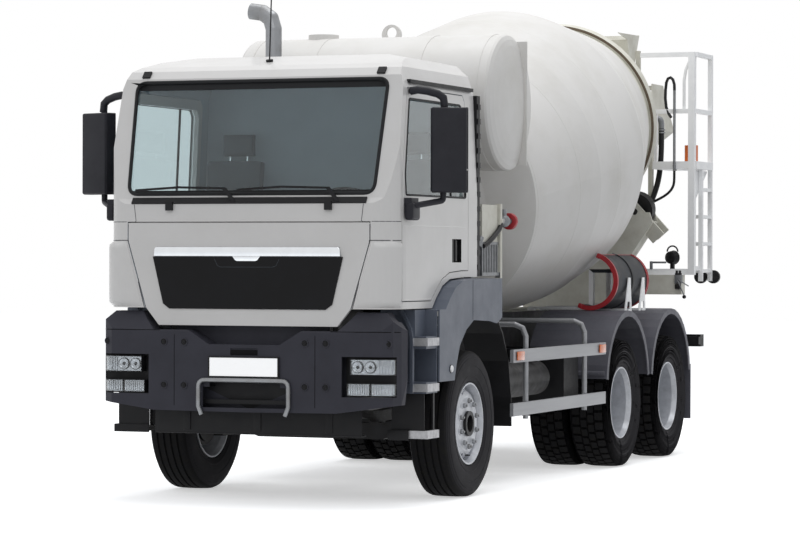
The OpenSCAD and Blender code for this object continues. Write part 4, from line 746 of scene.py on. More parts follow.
# %% Lines through the points found
def line_on(points, radius, name, material, body, closed=False, sink=0.3, resolution=3):
    """A thin round line through the points that were found, sunk by a share of its radius."""
    clear_selection()
    places = [place - normal * radius * sink for place, normal in (p for p in points if p)]
    piece = round_curve(name, places, radius, resolution)
    piece.data.splines[0].use_cyclic_u = closed
    select_only(piece)
    bpy.ops.object.convert(target="MESH")
    return settle(bpy.context.object, name, material, body, 60)


def between(start, end, count):
    return [(start[0] + (end[0] - start[0]) * i / count, start[1] + (end[1] - start[1]) * i / count)
            for i in range(count + 1)]


def rounded_loop(corners, radius, steps=6):
    """Corner points with each corner rounded, as a closed list."""
    loop = []
    count = len(corners)
    for i, corner in enumerate(corners):
        back, on = Vector(corners[i - 1]), Vector(corners[(i + 1) % count])
        corner = Vector(corner)
        a = corner + (back - corner).normalized() * radius
        b = corner + (on - corner).normalized() * radius
        for k in range(steps + 1):
            t = k / steps
            loop.append(tuple((1 - t) ** 2 * a + 2 * t * (1 - t) * corner + t * t * b))
        gap = on + (corner - on).normalized() * radius
        for k in range(1, 8):
            loop.append(tuple(b.lerp(gap, k / 8)))
    return loop


# %% [markdown]
# ## Windscreen seal, header and wiper band
# The screen is bonded into the cab behind a black seal about 25 mm wide. A printed black band
# hides the glue along the header and the foot, and it is a thin sheet lying on the glass.

# %% Seal round the screen
screen_loop = rounded_loop([(-0.944, 2.196), (0.944, 2.196), (0.972, 3.004), (-0.972, 3.004)], 0.075)
SCREEN_MIDDLE_Z = 2.6
SEAL_PROUD = 0.012
seal_points = []
for x, z in screen_loop:
    inner_x, inner_z = x * 0.993, SCREEN_MIDDLE_Z + (z - SCREEN_MIDDLE_Z) * 0.99
    hit = from_front(inner_x, inner_z, ("windscreen",))
    if hit:
        outward = Vector((x, 0, z)) - Vector((inner_x, 0, inner_z))
        seal_points.append((hit[0] + outward + Vector((0, -SEAL_PROUD, 0)), hit[1]))
line_on(seal_points, 0.0135, "screen_seal", seal_rubber, "cab", closed=True, sink=0.1)
print("seal of the screen:", len(seal_points), "points")


# %% Printed bands on the glass
INK_LIFT = 0.0015


def band_on_glass(name, x_half, z_low, z_high):
    clear_selection()
    bpy.ops.mesh.primitive_grid_add(x_subdivisions=36, y_subdivisions=3, size=1)
    band = bpy.context.object
    for vertex in band.data.vertices:
        x = vertex.co.x * 2 * x_half
        z = z_low + (vertex.co.y + 0.5) * (z_high - z_low)
        hit = from_front(x, z, ("windscreen",))
        vertex.co = hit[0] + Vector((0, -INK_LIFT, 0)) if hit else station(x, -1.3, z)
    return settle(band, name, seal_rubber, "cab")


band_on_glass("screen_header", 0.955, 2.945, 2.998)
band_on_glass("screen_foot", 0.925, 2.196, 2.222)
print("bands laid on the glass")

# %% [markdown]
# ## Shut lines of the cab
# Gaps between panels look like fine dark lines. The cowl has a line on each side that runs from
# the corner of the screen down to the flap's top edge, and then out round the corner. Two more
# lines border the corner beside the flap.

# %% Cowl and corner lines
SHUT, FLAP_GAP = 0.0028, 0.0035   # half the widths of the gaps


def cab_line(name, front_points=(), side_points=(), radius=SHUT):
    for sign, side in SIDES:
        points = [from_front(sign * x, z, ("cab_shell", "front_flap")) for x, z in front_points]
        points += [from_side(y, z, sign) for y, z in side_points]
        line_on(points, radius, name + "_" + side, seam_shadow, "cab", sink=0.4)


beside_screen = between((0.884, 2.150), (0.866, 2.006), 5)
under_screen = between((0.885, 2.0), (1.08, 2.0), 10)
cab_line("cowl_line", beside_screen + [(0.872, 2.001)] + under_screen,
         between((-1.33, 2.0), (-1.252, 2.0), 4))
cab_line("corner_line", between((0.925, 1.865), (0.80, 1.392), 8), radius=FLAP_GAP)
cab_line("corner_ledge", between((0.925, 1.868), (1.075, 1.868), 8),
         between((-1.33, 1.868), (-1.252, 1.868), 4), radius=FLAP_GAP)
print("shut lines drawn")

# %% [markdown]
# ## Head lamps
# Behind each clear cover lie a bright moulded reflector, two spun bowls and pressed upright ribs.
# The lamp wraps round the bumper's corner, so its plan is a bent line. One rib is made at the
# origin and copied along that line, each copy turned square to it. The bowls are spun in place.

# %% The bent line of a lamp
lens_line = [(0.776, -1.4165), (0.800, -1.4160), (1.040, -1.4060), (1.082, -1.3820), (1.112, -1.3400)]


def on_lens(x):
    """Station and turn of the lens at a distance from the centre line."""
    for (x0, y0), (x1, y1) in zip(lens_line, lens_line[1:]):
        if x <= x1 or (x1, y1) == lens_line[-1]:
            return y0 + (y1 - y0) * (x - x0) / (x1 - x0), math.atan2(y1 - y0, x1 - x0)


def wrapped_sheet(x0, x1, z0, z1, lift, thickness, material, columns=26):
    """A sheet that follows the bent line at a distance in front of it."""
    clear_selection()
    bpy.ops.mesh.primitive_grid_add(x_subdivisions=columns, y_subdivisions=2, size=1)
    sheet = bpy.context.object
    for vertex in sheet.data.vertices:
        x = x0 + (vertex.co.x + 0.5) * (x1 - x0)
        y, turn = on_lens(x)
        z = z0 + (vertex.co.y + 0.5) * (z1 - z0)
        vertex.co = station(x + lift * math.sin(turn), y - lift * math.cos(turn), z)
    wall = sheet.modifiers.new("wall", "SOLIDIFY")
    wall.thickness = thickness
    bpy.ops.object.modifier_apply(modifier="wall")
    sheet.data.materials.append(material)
    return sheet


# %% Reflectors, ribs and bowls
def lamp_ribs(x0, x1, z0, z1, pitch, depth):
    count = int((x1 - x0) / pitch)
    rib = rounded_block((-pitch * 0.40, -depth, z0), (pitch * 0.40, 0.001, z1), 3.0, 3, lamp_chrome)
    ribs = []
    for i in range(count):
        x = x0 + (i + 0.5) * (x1 - x0) / count
        y, turn = on_lens(x)
        place = Matrix.Translation(station(x, y - 0.001, 0)) @ Matrix.Rotation(turn, 4, "Z")
        ribs.append(copy_of(rib, place))
    bpy.data.objects.remove(rib)
    return ribs


def lamp_bowl(x, z, radius):
    centre, lip = station(x, on_lens(x)[0], z), radius - 0.004
    rim = turned([(-0.0020, radius), (-0.0095, radius), (-0.0105, radius - 0.002), (-0.0095, lip)],
                 centre, "Y", 40, seam_shadow_dark)
    dish = turned([(-0.0095, lip), (-0.0045, radius * 0.75), (-0.002, radius * 0.45),
                   (-0.0025, radius * 0.30)], centre, "Y", 40, lamp_chrome)
    bulb = turned([(-0.0025, radius * 0.30), (-0.0085, radius * 0.24), (-0.0100, radius * 0.12),
                   (-0.0100, 0.0)], centre, "Y", 24, seam_shadow_dark)
    return joined([rim, dish, bulb])


bright = [wrapped_sheet(0.803, 1.108, 0.938, 1.040, 0.0012, 0.001, lamp_chrome),
          wrapped_sheet(0.779, 1.108, 0.793, 0.871, 0.0012, 0.001, lamp_chrome)]
bright += [lamp_bowl(0.853, 0.989, 0.042), lamp_bowl(0.946, 0.989, 0.042)]
bright += lamp_ribs(0.998, 1.106, 0.942, 1.036, 0.0180, 0.008)
bright += lamp_ribs(0.783, 0.940, 0.797, 0.867, 0.0172, 0.007)
bright += lamp_ribs(0.954, 1.106, 0.797, 0.867, 0.0172, 0.007)
head_left = joined(bright)
head_right = copy_of(head_left, MIRROR)
print("bowls, ribs and reflectors of a lamp:", len(head_left.data.polygons), "faces")

# %% Clear covers and black frames
covers = [wrapped_sheet(0.802, 1.109, 0.937, 1.041, 0.0150, 0.0025, lens_glass),
          wrapped_sheet(0.778, 1.109, 0.792, 0.872, 0.0150, 0.0025, lens_glass)]
frames = [(0.798, 1.110, 1.041, 1.0465), (0.798, 1.110, 0.9315, 0.937), (0.774, 1.110, 0.872, 0.8775),
          (0.774, 1.110, 0.7865, 0.792), (0.798, 0.803, 0.937, 1.041), (0.774, 0.779, 0.792, 0.872),
          (0.944, 0.950, 0.792, 0.872), (1.1065, 1.1115, 0.937, 1.041), (1.1065, 1.1115, 0.792, 0.872)]
covers += [wrapped_sheet(x0, x1, z0, z1, 0.0165, 0.016, black_plastic, 26 if x1 - x0 > 0.1 else 2)
           for x0, x1, z0, z1 in frames]
cover_left = joined(covers)
cover_right = copy_of(cover_left, MIRROR)
for piece, piece_name in ((head_left, "head_lamp_left"), (head_right, "head_lamp_right"),
                          (cover_left, "lamp_cover_left"), (cover_right, "lamp_cover_right")):
    settle(piece, piece_name, None, "chassis")
print("cover of a lamp:", len(cover_left.data.polygons), "faces")

# %% [markdown]
# ## Bolts and joints of the bumper
# The bumper is three moulded pieces, joined by upright seams and held by sunk bolts under caps.
# One cap is spun as a ring round a sunk, round socket, and is copied to every place.

# %% Bumper bolts and seams
def bolt_cap():
    rim = turned([(0.0, 0.029), (-0.004, 0.0285), (-0.006, 0.0255), (-0.004, 0.0215), (0.0, 0.021)],
                 ORIGIN, "Y", 30, bumper_plastic)
    socket = turned([(-0.0006, 0.0215), (-0.0012, 0.020), (-0.0008, 0.0125), (-0.007, 0.0115),
                     (-0.008, 0.0095), (-0.0045, 0.0055), (-0.004, 0.0)], ORIGIN, "Y", 30, black_plastic)
    return joined([rim, socket])


cap = bolt_cap()
caps = []
for x, z in ((0.463, 1.150), (0.620, 1.150), (0.463, 0.845), (0.620, 0.845), (1.075, 1.150)):
    for sign in (1, -1):
        hit = from_front(sign * x, z, ("bumper",))
        if hit:
            caps.append(copy_of(cap, Matrix.Translation(hit[0])))
bpy.data.objects.remove(cap)
print("bolt caps:", len(caps))
settle(joined(caps), "bumper_bolt_caps", None, "chassis")
SEAM_X, CREASE_Z = 0.54, 1.2325
for sign, side in SIDES:
    seam = [from_front(sign * SEAM_X, z, ("bumper",)) for _, z in between((0, 0.70), (0, 1.232), 14)]
    line_on(seam, 0.0026, "bumper_seam_" + side, seam_shadow_dark, "chassis", sink=0.35)
for sign, side in SIDES:
    crease = [from_front(sign * x, CREASE_Z, ("bumper",)) for x, _ in between((0.655, 0), (1.135, 0), 20)]
    line_on(crease, 0.0032, "bumper_crease_" + side, seam_shadow_dark, "chassis", sink=0.4)
settle(block_at((-0.103, -1.4405, 1.0615), (0.103, -1.4325, 1.0985), 3, 2, seam_shadow_dark),
       "bumper_slot", None, "chassis")

# %% [markdown]
# ## Grille
# Along the top of the black panel runs a bright plated bar, round in section, with a lip hanging
# down in its middle. It is a flat outline pushed to a thickness, and its edges are rounded wide,
# so that it mirrors the pale sky above and the dark ground below, as plating does.

# %% Bright bar, lip and inner panel line
def outline_solid(corners, push, bevel_mm, material, steps):
    """A flat outline pushed to a solid with rounded edges."""
    clear_selection()
    bpy.ops.mesh.primitive_plane_add(size=0.1)
    piece = bpy.context.object
    shape = bmesh.new()
    shape.faces.new([shape.verts.new(corner) for corner in corners])
    shape.to_mesh(piece.data)
    shape.free()
    bpy.ops.object.mode_set(mode="EDIT")
    bpy.ops.mesh.select_all(action="SELECT")
    bpy.ops.mesh.extrude_region_move(TRANSFORM_OT_translate={"value": push})
    bpy.ops.mesh.select_all(action="SELECT")
    bpy.ops.mesh.normals_make_consistent(inside=False)
    bpy.ops.mesh.bevel(offset=bevel_mm / 1000, segments=steps, affect="EDGES")
    bpy.ops.object.mode_set(mode="OBJECT")
    piece.data.materials.append(material)
    return piece


def front_outline(points, front, back, bevel_mm, material, steps=3):
    """An outline in the front view as a solid between two stations."""
    corners = [station(x, front, z) for x, z in points]
    return outline_solid(corners, (0, back - front, 0), bevel_mm, material, steps)


bar = front_outline([(-0.716, 1.757), (-0.712, 1.806), (-0.700, 1.8215), (0.700, 1.8215), (0.712, 1.806),
                     (0.716, 1.757)], -1.4135, -1.4035, 4.5, chrome, 4)
lip = front_outline([(-0.108, 1.757), (-0.085, 1.727), (-0.070, 1.722), (0.070, 1.722), (0.085, 1.727),
                     (0.108, 1.757)], -1.4085, -1.3970, 3.0, chrome)
settle(joined([bar, lip]), "grille_bar", None, "front_flap")
inner_line = [(-0.250, 1.738), (-0.225, 1.690), (-0.200, 1.680), (0.200, 1.680), (0.225, 1.690),
              (0.250, 1.738)]
points = []
for start, end in zip(inner_line, inner_line[1:]):
    points += [from_front(x, z, ("grille",)) for x, z in between(start, end, 4)]
line_on(points, 0.0022, "grille_panel_line", trim_grey, "front_flap", sink=0.3)
print("grille dressed")

# %% [markdown]
# ## Hose fittings
# A hose is stiff, so at its top it is pushed on a steel elbow and held by two worm clips, and at
# its foot it goes into a threaded socket. The elbow is a round bar bent through a few points.

# %% Elbow, clips and sockets
def bent_bar(points, radius, name, material, body, resolution=5):
    """A round bar through points that are given behind the front axle."""
    on_air = [(station(*p), ORIGIN) for p in points]
    return line_on(on_air, radius, name, material, body, resolution=resolution)


elbow = [(0.6815, 6.480, 3.060), (0.700, 6.480, 3.0595), (0.7150, 6.4790, 3.050), (0.7245, 6.4775, 3.032),
         (0.7285, 6.4760, 3.005), (0.7290, 6.475, 2.960)]
bent_bar(elbow, 0.0262, "drain_elbow", cooler_metal, "chassis", 6)


def worm_clip(centre, radius):
    outer = radius + 0.0022
    band = turned([(-0.006, radius), (-0.006, outer), (0.006, outer), (0.006, radius), (-0.006, radius)],
                  ORIGIN, "Z", 32, aluminised_steel)
    screw = rounded_block((radius - 0.001, -0.010, -0.0065), (radius + 0.009, 0.010, 0.0065), 2, 2,
                          aluminised_steel)
    clip = joined([band, screw])
    clip.data.transform(Matrix.Translation(centre))
    return clip


clips = [worm_clip(station(0.7290, 6.475, 2.950), 0.0262), worm_clip(station(0.7292, 6.4745, 2.925), 0.0262),
         worm_clip(station(0.992, 5.995, 2.560), 0.0123)]
settle(joined(clips), "hose_clips", None, "chassis")
sockets = [turned([(2.1503, 0.0), (2.1503, 0.040), (2.166, 0.041), (2.168, 0.034), (2.206, 0.033),
                   (2.212, 0.029), (2.212, 0.0)], station(0.6625, 6.2225, 0), "Z", 32, cooler_metal),
           turned([(2.1503, 0.0), (2.1503, 0.022), (2.162, 0.022), (2.164, 0.017), (2.206, 0.0165),
                   (2.210, 0.014), (2.210, 0.0)], station(0.6660, 6.061, 0), "Z", 28, cooler_metal),
           turned([(2.570, 0.0), (2.570, 0.0140), (2.590, 0.0140), (2.592, 0.0145), (2.606, 0.0145),
                   (2.606, 0.0)], station(0.992, 5.995, 0), "Z", 28, cooler_metal)]
settle(joined(sockets), "hose_sockets", None, "chassis")
print("hose fittings made")

# %% [markdown]
# ## Cab inside
# Through the tinted glass one sees two seats, a bunk, the dashboard and the steering wheel. Seats
# and bunk are foam in cloth: each cushion starts as a cube cut into a grid, is crowned in code so
# that it bulges between its seams, and is rounded by a subdivision surface. The dashboard is a
# hard moulded form, pushed out of its side outline.

# %% A crowned cushion
def cushion(low, high, crown, channels=0, lean=0.0):
    """A pad that fills a box at its middle, pulls in at its edges, and may have sewn channels."""
    clear_selection()
    low, high = Vector(low), Vector(high)
    size, middle = high - low, (low + high) / 2
    bpy.ops.mesh.primitive_cube_add(size=1)
    pad = bpy.context.object
    bpy.ops.object.mode_set(mode="EDIT")
    bpy.ops.mesh.select_all(action="SELECT")
    bpy.ops.mesh.subdivide(number_cuts=11)
    bpy.ops.object.mode_set(mode="OBJECT")
    thin = min(range(3), key=lambda i: size[i])
    wide = [i for i in range(3) if i != thin]
    for vertex in pad.data.vertices:
        u, v = vertex.co[wide[0]] * 2, vertex.co[wide[1]] * 2
        edge = (1 - u ** 6) * (1 - v ** 6)
        place = Vector((vertex.co.x * size.x, vertex.co.y * size.y, vertex.co.z * size.z))
        place[thin] *= (1 - crown) + crown * edge
        if channels and abs(vertex.co[thin]) > 0.49:   # a narrow dip along each seam of the two broad faces
            place[thin] *= 1 - 0.10 * max(0.0, 1 - abs(math.sin(math.pi * channels * (v + 1) / 2)) * 2.2)
        # The flanks are drawn in by up to 3.5 %, and not at the pad's two ends
        place[wide[0]] *= 1 - 0.035 * (1 - abs(v) ** 3) * abs(u)
        vertex.co = place
    pad.data.transform(Matrix.Translation(middle) @ Matrix.Rotation(lean, 4, "X"))
    rounding = pad.modifiers.new("rounding", "SUBSURF")
    rounding.levels = rounding.render_levels = 1
    bpy.ops.object.modifier_apply(modifier="rounding")
    pad.data.materials.append(seat_cloth)
    return pad


# %% Seats, head rests and bunk
# Name, lowest and highest corner, crown, channels, lean and fill
seat_pads = (("seat_cushion_", (0.455, -0.590, 1.768), (0.945, -0.105, 1.888), 0.30, 5, 0.0, 0.7),
             ("seat_back_", (0.475, -0.110, 1.905), (0.925, 0.010, 2.470), 0.35, 6, math.radians(-6), 0.7),
             ("head_rest_", (0.575, -0.005, 2.510), (0.825, 0.080, 2.672), 0.35, 0, 0.0, 0.8))
pads = []
for sign, side in SIDES:
    for stem, low, high, crown, channels, lean, fill in seat_pads:
        pad = cushion(station(*low), station(*high), crown, channels, lean)
        pads.append((to_side(pad, sign), stem + side, fill))
bunk = cushion(station(-0.995, 0.094, 1.765), station(0.995, 0.230, 1.898), 0.25, 9)
pads.append((bunk, "bunk_mattress", 0.6))
for pad, pad_name, fill in pads:
    settle(pad, pad_name, None, "cab", 60)
print("padded pieces:", len(pads))

# %% Dashboard, wheel and seat bases
def side_outline(points, x0, x1, bevel_mm, material):
    """An outline in the side view pushed across the truck."""
    corners = [station(x0, y, z) for y, z in points]
    return outline_solid(corners, (x1 - x0, 0, 0), bevel_mm, material, 3)


dash = [side_outline([(-1.300, 1.700), (-1.300, 2.130), (-1.100, 2.150), (-0.960, 2.060), (-0.930, 1.880),
                      (-1.050, 1.700)], -1.000, 1.000, 12, trim_grey),
        block_at((-1.000, -1.300, 1.437), (1.000, -1.250, 1.703), 3, 2, trim_grey)]
for vent_x in (-0.72, -0.24, 0.24, 0.80):
    dash.append(block_at((vent_x - 0.075, -0.972, 1.965), (vent_x + 0.075, -0.948, 2.020), 5, 2,
                         seam_shadow_dark))
# On each side the base of the seat, a support under the end of the bunk and two head rest posts
for sign in (1, -1):
    base_x, box_x = sign * 0.7825, sign * 0.94
    dash.append(block_at((base_x - 0.1165, -0.420, 1.6535), (base_x + 0.1165, -0.110, 1.770), 8, 2,
                         black_plastic))
    dash.append(block_at((box_x - 0.038, 0.092, 1.6535), (box_x + 0.038, 0.232, 1.768), 4, 2, black_plastic))
    for post_x in (0.630, 0.770):
        dash.append(turned([(0, 0.0), (0, 0.007), (0.08, 0.007), (0.08, 0.0)],
                           station(sign * post_x, 0.030, 2.455), "Z", 12, chrome))
RIM_R, RIM_SECTION_R = 0.215, 0.016
rim_section = [(RIM_SECTION_R * math.sin(math.radians(a)), RIM_R + RIM_SECTION_R * math.cos(math.radians(a)))
               for a in range(0, 361, 30)]
hand = [turned(rim_section, ORIGIN, "Z", 48, black_plastic),
        turned([(-0.020, 0.0), (-0.020, 0.058), (0.008, 0.060), (0.018, 0.050), (0.020, 0.0)],
               ORIGIN, "Z", 32, black_plastic),
        turned([(-0.330, 0.0), (-0.330, 0.032), (-0.012, 0.030), (-0.012, 0.0)], ORIGIN, "Z", 24,
               black_plastic)]
for turn in (90, 210, 330):
    spoke = rounded_block((0.045, -0.016, -0.007), (0.206, 0.016, 0.006), 5, 2, black_plastic)
    spoke.data.transform(Matrix.Rotation(math.radians(turn), 4, "Z"))
    hand.append(spoke)
wheel = joined(hand)
column = Matrix.Rotation(math.radians(-32), 4, "X")
wheel.data.transform(Matrix.Translation(station(0.560, -0.790, 2.120)) @ column)
dash = settle(joined(dash + [wheel]), "cab_fittings", None, "cab")
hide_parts("cab_interior")
print("cab inside:", len(dash.data.polygons), "faces")

# %% Lining of the cab
# Lining: pale grey felt and plastic, quite matt.
cab_lining = finish("cab_lining", "#bcc4cb", "#adb5bc", 300, 0.5, 0.8, 0.05, grain_mm=4, grain_height_mm=0.1,
                    ior=1.3)
cab_middle = station(0, -0.50, 2.30)
LINING_HALF_W = 1.09
lined = dress_where("cab_shell", cab_lining, lambda face: (
    face.normal.dot((cab_middle - face.center).normalized()) > 0.3 and abs(face.center.x) < LINING_HALF_W))
print("faces of the lining, which look towards the middle of the cab:", lined)

# %% [markdown]
# ## Number plate
# The plate stays blank. It is a thin white sheet in a slim black holder with rounded corners.

# %% Plate holder
HOLDER_FRONT, HOLDER_BACK = -1.4545, -1.4405
holder = [block_at((x0, HOLDER_FRONT, z0), (x1, HOLDER_BACK, z1), 2, 2, black_plastic) for x0, x1, z0, z1 in (
    (-0.272, 0.272, 0.902, 0.9135), (-0.272, 0.272, 1.0425, 1.052),
    (-0.272, -0.2605, 0.9135, 1.0425), (0.2605, 0.272, 0.9135, 1.0425))]
settle(joined(holder), "plate_holder", None, "chassis")
print("strips round the plate:", len(holder))

# %% [markdown]
# ## Doors
# A door has a rubber seal round its window, a bar that divides the window, a pull handle in a
# pressed recess, and two pressed lines along its skin. The bar lies on the glass, the seal and
# the lines on the door's sheet.

# %% Window seal, bar and pressed lines
def door_point(y, z, sign, inner=False):
    names = ("door_glass_left", "door_glass_right") if inner else ("door_left", "door_right")
    return from_side(y, z, sign, names)


window_edge = [(-1.190, 2.190), (0.025, 2.190), (0.025, 2.810), (-0.020, 2.862), (-1.052, 2.862),
               (-1.190, 2.330)]
WINDOW_MIDDLE = (-0.58, 2.52)
for sign, side in SIDES:
    rides_on = "door_" + side
    points = []
    for y, z in rounded_loop(window_edge, 0.02, 3):
        hit = door_point(WINDOW_MIDDLE[0] + (y - WINDOW_MIDDLE[0]) * 1.004,
                         WINDOW_MIDDLE[1] + (z - WINDOW_MIDDLE[1]) * 1.008, sign)
        if hit and abs(hit[1].x) > 0.3:
            points.append(hit)
    line_on(points, 0.008, "window_seal_" + side, seal_rubber, rides_on, closed=True,
            sink=0.2)
    bar = [door_point(-0.235, z, sign, True) for _, z in between((0, 2.196), (0, 2.856), 10)]
    line_on(bar, 0.011, "window_bar_" + side, seal_rubber, rides_on, sink=0.3)
    for label, height, start, end in (("upper_", 1.972, -1.215, 0.22), ("lower_", 1.455, -1.215, -0.62)):
        crease = [door_point(y, height, sign) for y, _ in between((start, 0), (end, 0), 22)]
        crease = [p for p in crease if p and abs(p[0].x) > 1.09]
        # The pressed lines are a shade lighter than the door: a painted highlight.
        line_on(crease, 0.004, "door_crease_" + label + side, crease_enamel_painted_highlight, rides_on,
                sink=0.55)
print("window seals and pressed lines on")

# %% [markdown]
# ## Handles
# The handle is an upright moulded grip in its recess: a block with wide, rounded edges on a
# shorter foot. Three flat strips frame the recess.

# %% Door handles
for sign, side in SIDES:
    handle = joined([block_at(low, high, bevel_mm, steps, black_plastic) for low, high, bevel_mm, steps in (
        ((1.094, -0.182, 1.722), (1.117, -0.138, 1.878), 8, 3),      # grip
        ((1.086, -0.188, 1.722), (1.104, -0.132, 1.760), 5, 2),      # its foot
        ((1.1145, -0.262, 1.706), (1.1195, -0.222, 1.894), 2, 2),    # frame of the recess
        ((1.1145, -0.232, 1.706), (1.1195, -0.053, 1.716), 2, 2),
        ((1.1145, -0.232, 1.884), (1.1195, -0.053, 1.894), 2, 2))])
    settle(to_side(handle, sign), "door_handle_" + side, None, "door_" + side)
print("handles on")

# %% [markdown]
# ## Mirrors
# The housings are plain boxes in the solids. The glass faces back, so what shows from the front
# is the rounded back of the shell, which is laid over the box. A thick bent arm leads from the
# roof's edge to its top, and a moulded foot on the door holds its lower arm.

# %% Mirror glass, shells and thick arms
mirror_place = Matrix.Translation(station(1.360, -0.960, 0)) @ Matrix.Rotation(math.radians(20), 4, "Z")
upper_arm = [(1.098, -1.050, 2.916), (1.150, -1.046, 2.925), (1.215, -1.028, 2.916), (1.285, -1.003, 2.896),
             (1.322, -0.990, 2.868), (1.330, -0.986, 2.806)]
for sign, side in SIDES:
    rides_on = "door_" + side
    sheets = [rounded_block((-0.130, -0.0850, 2.207), (0.1185, -0.0555, 2.7995), 14, 4, mirror_plastic),
              rounded_block((-0.1345, -0.0720, 2.212), (-0.1255, 0.0200, 2.7945), 4, 3, mirror_plastic),
              rounded_block((0.1255, -0.0500, 2.212), (0.1290, 0.0200, 2.7945), 1.5, 2, mirror_plastic)]
    for low, high in ((2.385, 2.785), (2.220, 2.345)):
        sheets.append(rounded_block((-0.112, 0.0255, low), (0.112, 0.0285, high), 1.2, 1, chrome))
    mirror = joined(sheets)
    mirror.data.transform(mirror_place)
    settle(to_side(mirror, sign), "mirror_shell_" + side, None, rides_on)
    bent_bar([(sign * x, y, z) for x, y, z in upper_arm], 0.0285, "mirror_arm_" + side, mirror_plastic,
             rides_on, 5)
    foot = block_at((1.1215, -1.235, 2.010), (1.186, -1.072, 2.134), 22, 5, mirror_plastic)
    settle(to_side(foot, sign), "mirror_foot_" + side, None, rides_on)
print("mirrors on")

# %% [markdown]
# ## Drum
# The drum is rolled from cone and cylinder plates. Where plates meet, a low weld bead runs round,
# ground nearly flush and painted over. Its points are found on the skin by rays that run in
# towards the drum's tilted axis from all round.

# %% Weld beads round the drum
TILT = math.radians(12.2)
drum_start = station(0, 1.780, 2.153)
drum_axis = Vector((0, math.cos(TILT), math.sin(TILT)))
to_drum = Matrix.Translation(drum_start) @ Matrix.Rotation(TILT, 4, "X")


def drum_surface(along, angle):
    """The point of the drum's skin at a distance along its axis, seen from a given angle."""
    out = to_drum.to_3x3() @ Vector((math.cos(angle), 0, math.sin(angle)))
    middle = drum_start + drum_axis * along
    return found(middle + out * 2.0, -out, ("drum",))


BEAD_STEPS = 120
for i, along in enumerate((0.36, 1.02, 1.78, 2.62)):
    bead = [drum_surface(along, 2 * math.pi * k / BEAD_STEPS) for k in range(BEAD_STEPS)]
    line_on(bead, 0.006, "drum_weld_" + str(i), weld_enamel, "drum", closed=True, sink=0.62,
            resolution=2)
print("weld beads run round the drum")

# %% [markdown]
# ## Water tank
# The tank's dished ends are welded into its shell behind a narrow rolled edge. Two flat straps
# hold it to its saddles.

# %% Rolled edges and straps
TANK_R, TANK_END = 0.525, 1.115


def tank_ring(name, x, width, proud):
    inner, outer = TANK_R - 0.004, TANK_R + proud
    ring = turned([(x - width / 2, inner), (x - width / 2, outer), (x + width / 2, outer),
                   (x + width / 2, inner), (x - width / 2, inner)], station(0, 1.210, 2.945), "X", 96)
    return settle(ring, name, drum_enamel, "chassis")


for sign, side in SIDES:
    tank_ring("tank_edge_" + side, sign * (TANK_END - 0.165), 0.022, 0.0035)
    tank_ring("tank_strap_" + side, sign * 0.44, 0.075, 0.004)
print("edges and straps round the tank")

# %% [markdown]
# ## Wheels
# A pressed wheel gets its life from small things: the round washers under the nuts, the valve,
# the dark brake drum seen through the hand holes and the greasy open end of the hub.

# %% Washers, valves and dark hub ends
NUTS, BOLT_CIRCLE_R, VALVE_R, BRAKE_DRUM_R = 10, 0.1675, 0.232, 0.21


def dark_inside(node_name, centre_x, back, hub_radius, disc_out):
    """Gives the faces behind the disc and in the hub's end a dark, oily finish."""
    sign = 1 if centre_x > 0 else -1
    centre = station(centre_x, back, AXLE_Z)

    def chosen(face):
        offset = face.center - centre
        out, radius = offset.x * sign, math.hypot(offset.y, offset.z)
        in_hub = radius < hub_radius and out > disc_out - 0.05
        return in_hub or (radius < BRAKE_DRUM_R and out < disc_out - 0.03)
    dress_where(node_name, chassis_paint, chosen)


def wheel_trim(wheel, sign, back, centre_x, disc_out, valve_out):
    """Ten nuts on their washers and a valve, made at the origin and moved to the wheel."""
    washer = turned([(0.0, 0.026), (0.003, 0.0255), (0.006, 0.021), (0.006, 0.0)], ORIGIN, "X", 20,
                    wheel_silver)
    nut = turned([(0.006, 0.019), (0.020, 0.0185), (0.0275, 0.015), (0.0275, 0.010), (0.036, 0.0095),
                  (0.038, 0.007), (0.038, 0.0)], ORIGIN, "X", 6, aluminised_steel)
    stud = joined([washer, nut])
    studs = []
    for i in range(NUTS):
        angle = 2 * math.pi * i / NUTS
        place = Vector((disc_out, BOLT_CIRCLE_R * math.sin(-angle), BOLT_CIRCLE_R * math.cos(angle)))
        studs.append(copy_of(stud, Matrix.Translation(place)))
    bpy.data.objects.remove(stud)
    valve = turned([(0.0, 0.007), (0.028, 0.006), (0.030, 0.0045), (0.042, 0.0045), (0.043, 0.0)],
                   Vector((disc_out + valve_out, 0, 0)), "X", 12, hose_rubber)
    valve.data.transform(Matrix.Translation(Vector((-0.03, 0.0, -VALVE_R))))
    trim = to_side(joined(studs + [valve]), sign)
    trim.data.transform(Matrix.Translation(station(sign * centre_x, back, AXLE_Z)))
    settle(trim, "wheel_nuts_" + wheel, None, "wheel_" + wheel)


for sign, side in SIDES:
    dark_inside("rim_front_" + side, sign * 1.030, 0.0, 0.100, 0.118)
    wheel_trim("front_" + side, sign, 0.0, 1.030, 0.118, 0.01)
    for row, back in (("middle_", 3.6), ("rear_", 5.0)):
        dark_inside("rims_" + row + side, sign * 0.910, back, 0.02, 0.0)
        wheel_trim(row + side, sign, back, 0.910, 0.0, 0.004)
print("wheels trimmed")

# %% [markdown]
# ## Spare chutes
# Two spare chutes are strapped on the left, one in the other. Their rims are rolled steel strips,
# painted red, and a strap goes over them. A strip is a small rectangle spun half round the
# chute's own axis and then rolled by 21 degrees, because the chutes lie tipped to one side.

# %% Red rims and the strap
CHUTE_X, CHUTE_Z = 0.940, 1.556
chute_turn = Matrix.Rotation(math.radians(21), 4, "Y")


